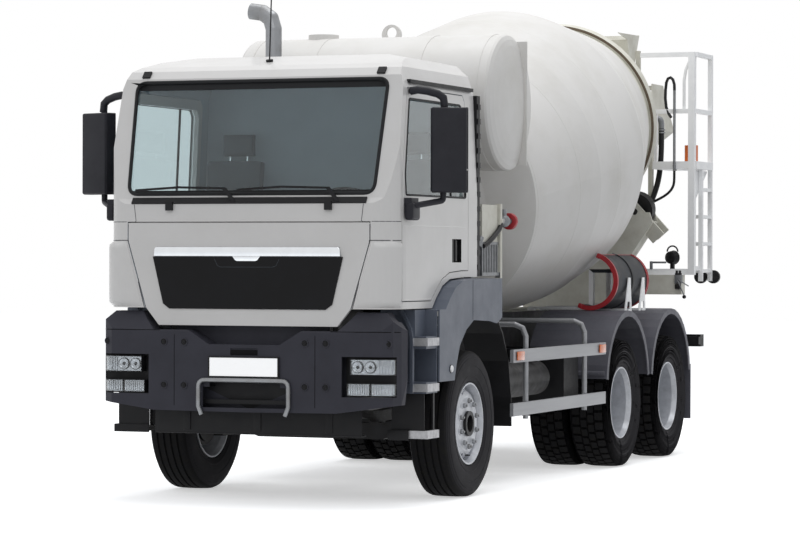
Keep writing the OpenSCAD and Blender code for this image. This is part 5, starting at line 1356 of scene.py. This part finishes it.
def half_hoop(along, width, inner, outer, material):
    profile = [(-width / 2, inner), (-width / 2, outer), (width / 2, outer), (width / 2, inner),
               (-width / 2, inner)]
    hoop = turned(profile, ORIGIN, "Y", 36, material, 180)
    if sum(vertex.co.x for vertex in hoop.data.vertices) < 0:
        to_side(hoop, -1)
    hoop.data.transform(Matrix.Translation(station(CHUTE_X, along, CHUTE_Z)) @ chute_turn)
    return hoop


def chute_block(low, high, bevel_mm, material):
    """A rounded block whose corners are given from the chute's axis, behind the front axle."""
    block = block_at(low, high, bevel_mm, 2, material)
    block.data.transform(Matrix.Translation((CHUTE_X, 0, CHUTE_Z)) @ chute_turn)
    return block


rims = [half_hoop(along, 0.012, 0.2080, 0.2470, chute_red) for along in (3.6135, 4.5265)]
rims += [half_hoop(along, 0.026, 0.2385, 0.2440, chute_red) for along in (3.633, 4.507)]
for rim_z in (0.226, -0.226):
    rims.append(chute_block((-0.022, 3.600, rim_z - 0.020), (0.018, 3.640, rim_z + 0.020), 5, chute_red))
settle(joined(rims), "spare_chute_rims", None, "chassis")
straps = [half_hoop(4.070, 0.034, 0.2405, 0.2450, seal_rubber)]
for hook_z in (0.2415, -0.2415):
    straps.append(chute_block((-0.030, 4.053, hook_z - 0.004), (0.004, 4.087, hook_z + 0.004), 1.5,
                              cooler_metal))
settle(joined(straps), "spare_chute_strap", None, "chassis")
print("hoops and corners of the rims:", len(rims))

# %% Cheeks that stand outside the chutes
cheeks = []
cheek_form = ((-0.135, 1.300), (-0.020, 1.585), (0.025, 1.585), (0.060, 1.300),
              (0.020, 1.300), (0.012, 1.380), (-0.060, 1.380), (-0.088, 1.300))
for along in (3.920, 4.330):
    outline = [(along + dy, z) for dy, z in cheek_form]
    cheeks.append(side_outline(outline, 1.187, 1.199, 2.5, ladder_white))
    cheeks.append(block_at((0.400, along - 0.030, 1.300), (1.199, along + 0.030, 1.318), 3, 2, ladder_white))
settle(joined(cheeks), "chute_cheeks", None, "chassis")
print("spare chutes trimmed")

# %% [markdown]
# ## Drum mouth
# Near its mouth the drum has a brown, grease-stained band beside the running ring, and the cone
# behind it keeps the cream of the mixer frame.

# %% Stained band beside the ring
MOUTH_START, SKIN_R = 3.74, 0.55


def on_mouth(face):
    along = (face.center - drum_start).dot(drum_axis)
    return along > MOUTH_START and (face.center - drum_start - drum_axis * along).length > SKIN_R


dress_where("drum", mixer_cream, on_mouth)
edge = turned([(0.0, 0.8800), (-0.0050, 0.8820), (-0.0055, 0.9000), (-0.0035, 0.9045), (0.0, 0.9049),
               (0.0, 0.8800)], ORIGIN, "Y", 128)
edge.data.transform(to_drum @ Matrix.Translation((0, 3.9297, 0)))
settle(edge, "drum_stained_edge", drum_brown, "drum")
print("drum mouth dressed")

# %% [markdown]
# ## Corner panels of the cab
# Beside the front flap a pressed panel stands proud of the cab's corner and wraps round it to the
# door. It is a grid whose points are found on the corner by rays, lifted, and given a thickness.

# %% Corner panels
FRONT_LIFT, SIDE_SWELL, PANEL_WALL = 0.011, 0.024, 0.004
CORNER_Y, FOOT_X, TOP_X, FOOT_Z, PANEL_HEIGHT = -1.262, 0.818, 0.942, 1.402, 0.458


def corner_panel(sign, side):
    """A sheet 11 mm off the front that swells to 35 mm at the side. Its edges come down to the cab."""
    clear_selection()
    bpy.ops.mesh.primitive_grid_add(x_subdivisions=28, y_subdivisions=20, size=1)
    sheet = bpy.context.object
    for vertex in sheet.data.vertices:
        u, v = vertex.co.x + 0.5, vertex.co.y + 0.5
        inner_x = FOOT_X + (TOP_X - FOOT_X) * v
        pivot = station(inner_x * sign, CORNER_Y, FOOT_Z + v * PANEL_HEIGHT)
        turn = u * math.pi / 2
        out = Vector((math.sin(turn) * sign, -math.cos(turn), 0))
        hit = found(pivot + out * 0.5, -out, ("cab_shell",))
        place = hit[0] if hit else pivot + out * 0.12
        edge = min(min(u, 1 - u) * 16, min(v, 1 - v) * 16)
        lift = FRONT_LIFT + SIDE_SWELL * math.sin(turn) ** 2
        vertex.co = place + out * lift * min(1.0, 0.12 + edge)
    wall = sheet.modifiers.new("wall", "SOLIDIFY")
    wall.thickness = PANEL_WALL
    wall.offset = -1 if sign > 0 else 1   # the grid's mirror image looks inwards until it is flipped
    bpy.ops.object.modifier_apply(modifier="wall")
    if sign < 0:
        sheet.data.flip_normals()
    return settle(sheet, "corner_panel_" + side, cab_enamel, "cab", 50)


for sign, side in SIDES:
    corner_panel(sign, side)
print("corner panels on")

# %% [markdown]
# ## Under the bumper
# A black sheet hangs behind the bumper and closes the view to the axle. It is painted shade, set
# where the space under the cab lies dark. Its foot is folded back, and three ribs stand on it.

# %% Sheet of painted shade
shade_sheet = [side_outline([(-1.205, 0.500), (-1.200, 0.505), (-1.200, 0.760), (-1.205, 0.760)],
                       -0.800, 0.800, 0.8, black_plastic)]
for x in (-0.55, 0.0, 0.55):
    shade_sheet.append(block_at((x - 0.03, -1.212, 0.515), (x + 0.03, -1.200, 0.750), 4, 2, black_plastic))
shade_sheet.append(block_at((-0.800, -1.206, 0.490), (0.800, -1.120, 0.504), 4, 2, black_plastic))
# In front of the lowest step on the left, a black cover: painted shade over the step's inner part
shade_sheet.append(block_at((0.925, -1.0385, 0.466), (1.082, -1.0310, 0.538), 2, 2, black_plastic))
settle(joined(shade_sheet), "painted_shade_sheet", None, "chassis")
print("pieces of the splash sheet:", len(shade_sheet))

# %% [markdown]
# ## Small things on the front fender
# A small round side lamp sits low on the fender, in front of the wheel, and an upright joint
# divides the fender above the wheel.

# %% Side lamp and joint
lamp_place = station(1.2195, -0.546, 0.955)
lamp_cup = turned([(0.0, 0.026), (0.008, 0.0255), (0.013, 0.022), (0.016, 0.012), (0.0165, 0.0)],
                  lamp_place, "X", 28, ladder_white)
lamp_back = turned([(0.0, 0.030), (0.005, 0.029), (0.006, 0.0)], lamp_place, "X", 28, black_plastic)
side_lamp = joined([lamp_cup, lamp_back])
twin = copy_of(side_lamp, MIRROR)
settle(side_lamp, "fender_lamp_left", None, "chassis")
settle(twin, "fender_lamp_right", None, "chassis")
for sign, side in SIDES:
    joint = [from_side(-0.085, z, sign, ("front_fenders",)) for _, z in between((0, 1.592), (0, 1.300), 8)]
    line_on(joint, 0.0024, "fender_joint_" + side, seam_shadow_dark, "chassis", sink=0.4)
print("fenders dressed")

# %% [markdown]
# ## Rear work place
# At the foot of the ladder hang a work lamp, a small hydraulic valve with two levers, and the
# feed pipe of the wash water. Each is small, so a few bevelled blocks, spun forms and bent bars
# are enough, but each is made the way the real one is put together.

# %% Work lamp
housing = turned([(-0.052, 0.0), (-0.052, 0.036), (-0.040, 0.056), (0.006, 0.064), (0.020, 0.066),
                  (0.026, 0.064), (0.026, 0.0)], ORIGIN, "X", 36, black_plastic)
work_glass = turned([(0.0262, 0.058), (0.0300, 0.054), (0.0340, 0.030), (0.0350, 0.0)], ORIGIN, "X", 36,
                    lamp_chrome)
work_lamp = joined([housing, work_glass])
aim = Matrix.Rotation(math.radians(70), 4, "Z")
work_lamp.data.transform(Matrix.Translation(station(0.967, 6.030, 1.758)) @ aim)
settle(work_lamp, "work_lamp", None, "chassis")
handle_arc = [math.pi * i / 14 for i in range(15)]
bent_bar([(0.967 + 0.050 * math.cos(a), 6.030, 1.812 + 0.052 * math.sin(a)) for a in handle_arc], 0.0075,
         "work_lamp_handle", black_plastic, "chassis", 4)
bracket = [block_at((0.950, 6.005, 1.654), (0.984, 6.055, 1.700), 4, 2, black_plastic),
           block_at((0.760, 5.995, 1.704), (0.915, 6.015, 1.722), 5, 2, cooler_metal),
           block_at((0.760, 5.992, 1.650), (0.785, 6.018, 1.724), 4, 2, cooler_metal)]
settle(joined(bracket), "work_lamp_foot", None, "chassis")
print("work lamp on its bracket")

# %% Valve block and levers
valve_parts = [block_at((1.020, 5.905, 1.520), (1.090, 5.945, 1.600), 5, 2, cooler_metal),
               block_at((1.025, 5.900, 1.470), (1.075, 5.940, 1.515), 6, 2, spring_steel)]
pipe_joint = [(0.0, 0.0), (0.0, 0.017), (0.016, 0.017), (0.018, 0.012), (0.040, 0.012), (0.040, 0.0)]
valve_parts += [turned(pipe_joint, station(x, 5.920, 1.600), "Z", 20, spring_steel) for x in (1.040, 1.070)]
settle(joined(valve_parts), "lever_valve", None, "chassis")
levers = (("lever_short", [(1.060, 5.905, 1.555), (1.080, 5.895, 1.545), (1.160, 5.890, 1.498)]),
          ("lever_long", [(1.050, 5.905, 1.550), (1.070, 5.893, 1.520), (1.118, 5.890, 1.412)]))
for lever_name, lever in levers:
    bent_bar(lever, 0.0055, lever_name, cooler_metal, "chassis", 4)
KNOB_R = 0.018
half_turn = [math.radians(a - 90) for a in range(0, 181, 20)]
knob = turned([(KNOB_R * math.sin(a), KNOB_R * math.cos(a)) for a in half_turn],
              station(1.119, 5.890, 1.400), "Z", 20, black_plastic)
settle(knob, "lever_knob", None, "chassis")
print("lever valve made")

# %% Wash pipe, gusset and railing brace
bent_bar([(0.992, 5.994, 2.600), (0.992, 5.994, 2.900), (0.992, 5.994, 3.300)], 0.0125, "wash_pipe",
         cooler_metal, "chassis", 5)
wash_loop = [(0.992, 5.994, 3.290), (0.990, 5.996, 3.345), (0.975, 6.002, 3.390), (0.950, 6.010, 3.410),
             (0.922, 6.020, 3.400), (0.905, 6.028, 3.365), (0.897, 6.030, 3.300), (0.895, 6.030, 3.220),
             (0.905, 6.026, 3.140), (0.930, 6.018, 3.080), (0.960, 5.992, 3.045)]
bent_bar(wash_loop, 0.0135, "wash_loop", hose_rubber, "chassis", 5)
gusset = side_outline([(6.060, 2.560), (6.500, 2.560), (6.500, 2.545), (6.130, 2.300), (6.060, 2.300)],
                      1.150, 1.162, 3, ladder_white)
settle(gusset, "platform_gusset", None, "chassis")
brace = [(1.160, 6.060, 3.590), (1.120, 6.052, 3.560), (1.085, 6.045, 3.480), (1.070, 6.042, 3.380),
         (1.070, 6.042, 3.110)]
bent_bar(brace, 0.014, "railing_brace", ladder_white, "chassis", 5)
LADDER_PITCH = 0.25
treads = [block_at((1.128, 6.222, 1.6175 + LADDER_PITCH * i), (1.171, 6.518, 1.6515 + LADDER_PITCH * i),
                   4, 2, ladder_white) for i in range(4)]
settle(joined(treads), "ladder_treads", None, "chassis")
print("rear work place made")

# %% [markdown]
# ## Side reflectors
# Two amber reflectors are clipped on each side guard. They are shallow blocks that stand just
# proud of the rail.

# %% Reflectors of the side guards
reflectors = []
for sign in (1, -1):
    for along in (0.745, 2.815):
        reflector = block_at((1.2755, along, 0.976), (1.2825, along + 0.165, 1.043), 2.5, 2, amber_lens)
        reflectors.append(to_side(reflector, sign))
print("side reflectors:", len(reflectors))
settle(joined(reflectors), "guard_reflectors", None, "chassis")

# %% [markdown]
# ## Pump valve beside the cooler
# A short black hose leads from the cooler up to a plated valve, which a red cap closes. The cap
# is spun with rounded rims, as a cast hand wheel has, and closes round the pipe in front.

# %% Valve hose and cap
valve_hose = [(1.082, 0.520, 1.838), (1.094, 0.560, 1.850), (1.100, 0.700, 1.905), (1.098, 0.840, 1.965),
              (1.090, 0.900, 2.005)]
bent_bar(valve_hose, 0.019, "valve_hose", hose_rubber, "chassis", 5)
cap_ring = turned([(1.109, 0.0275), (1.1045, 0.0285), (1.1035, 0.0520), (1.106, 0.0600), (1.112, 0.064),
                   (1.144, 0.064), (1.154, 0.060), (1.156, 0.040), (1.153, 0.022), (1.153, 0.0)],
                  station(1.080, 0, 2.030), "Y", 36, chute_red)
settle(cap_ring, "valve_cap", None, "chassis")
print("valve dressed")
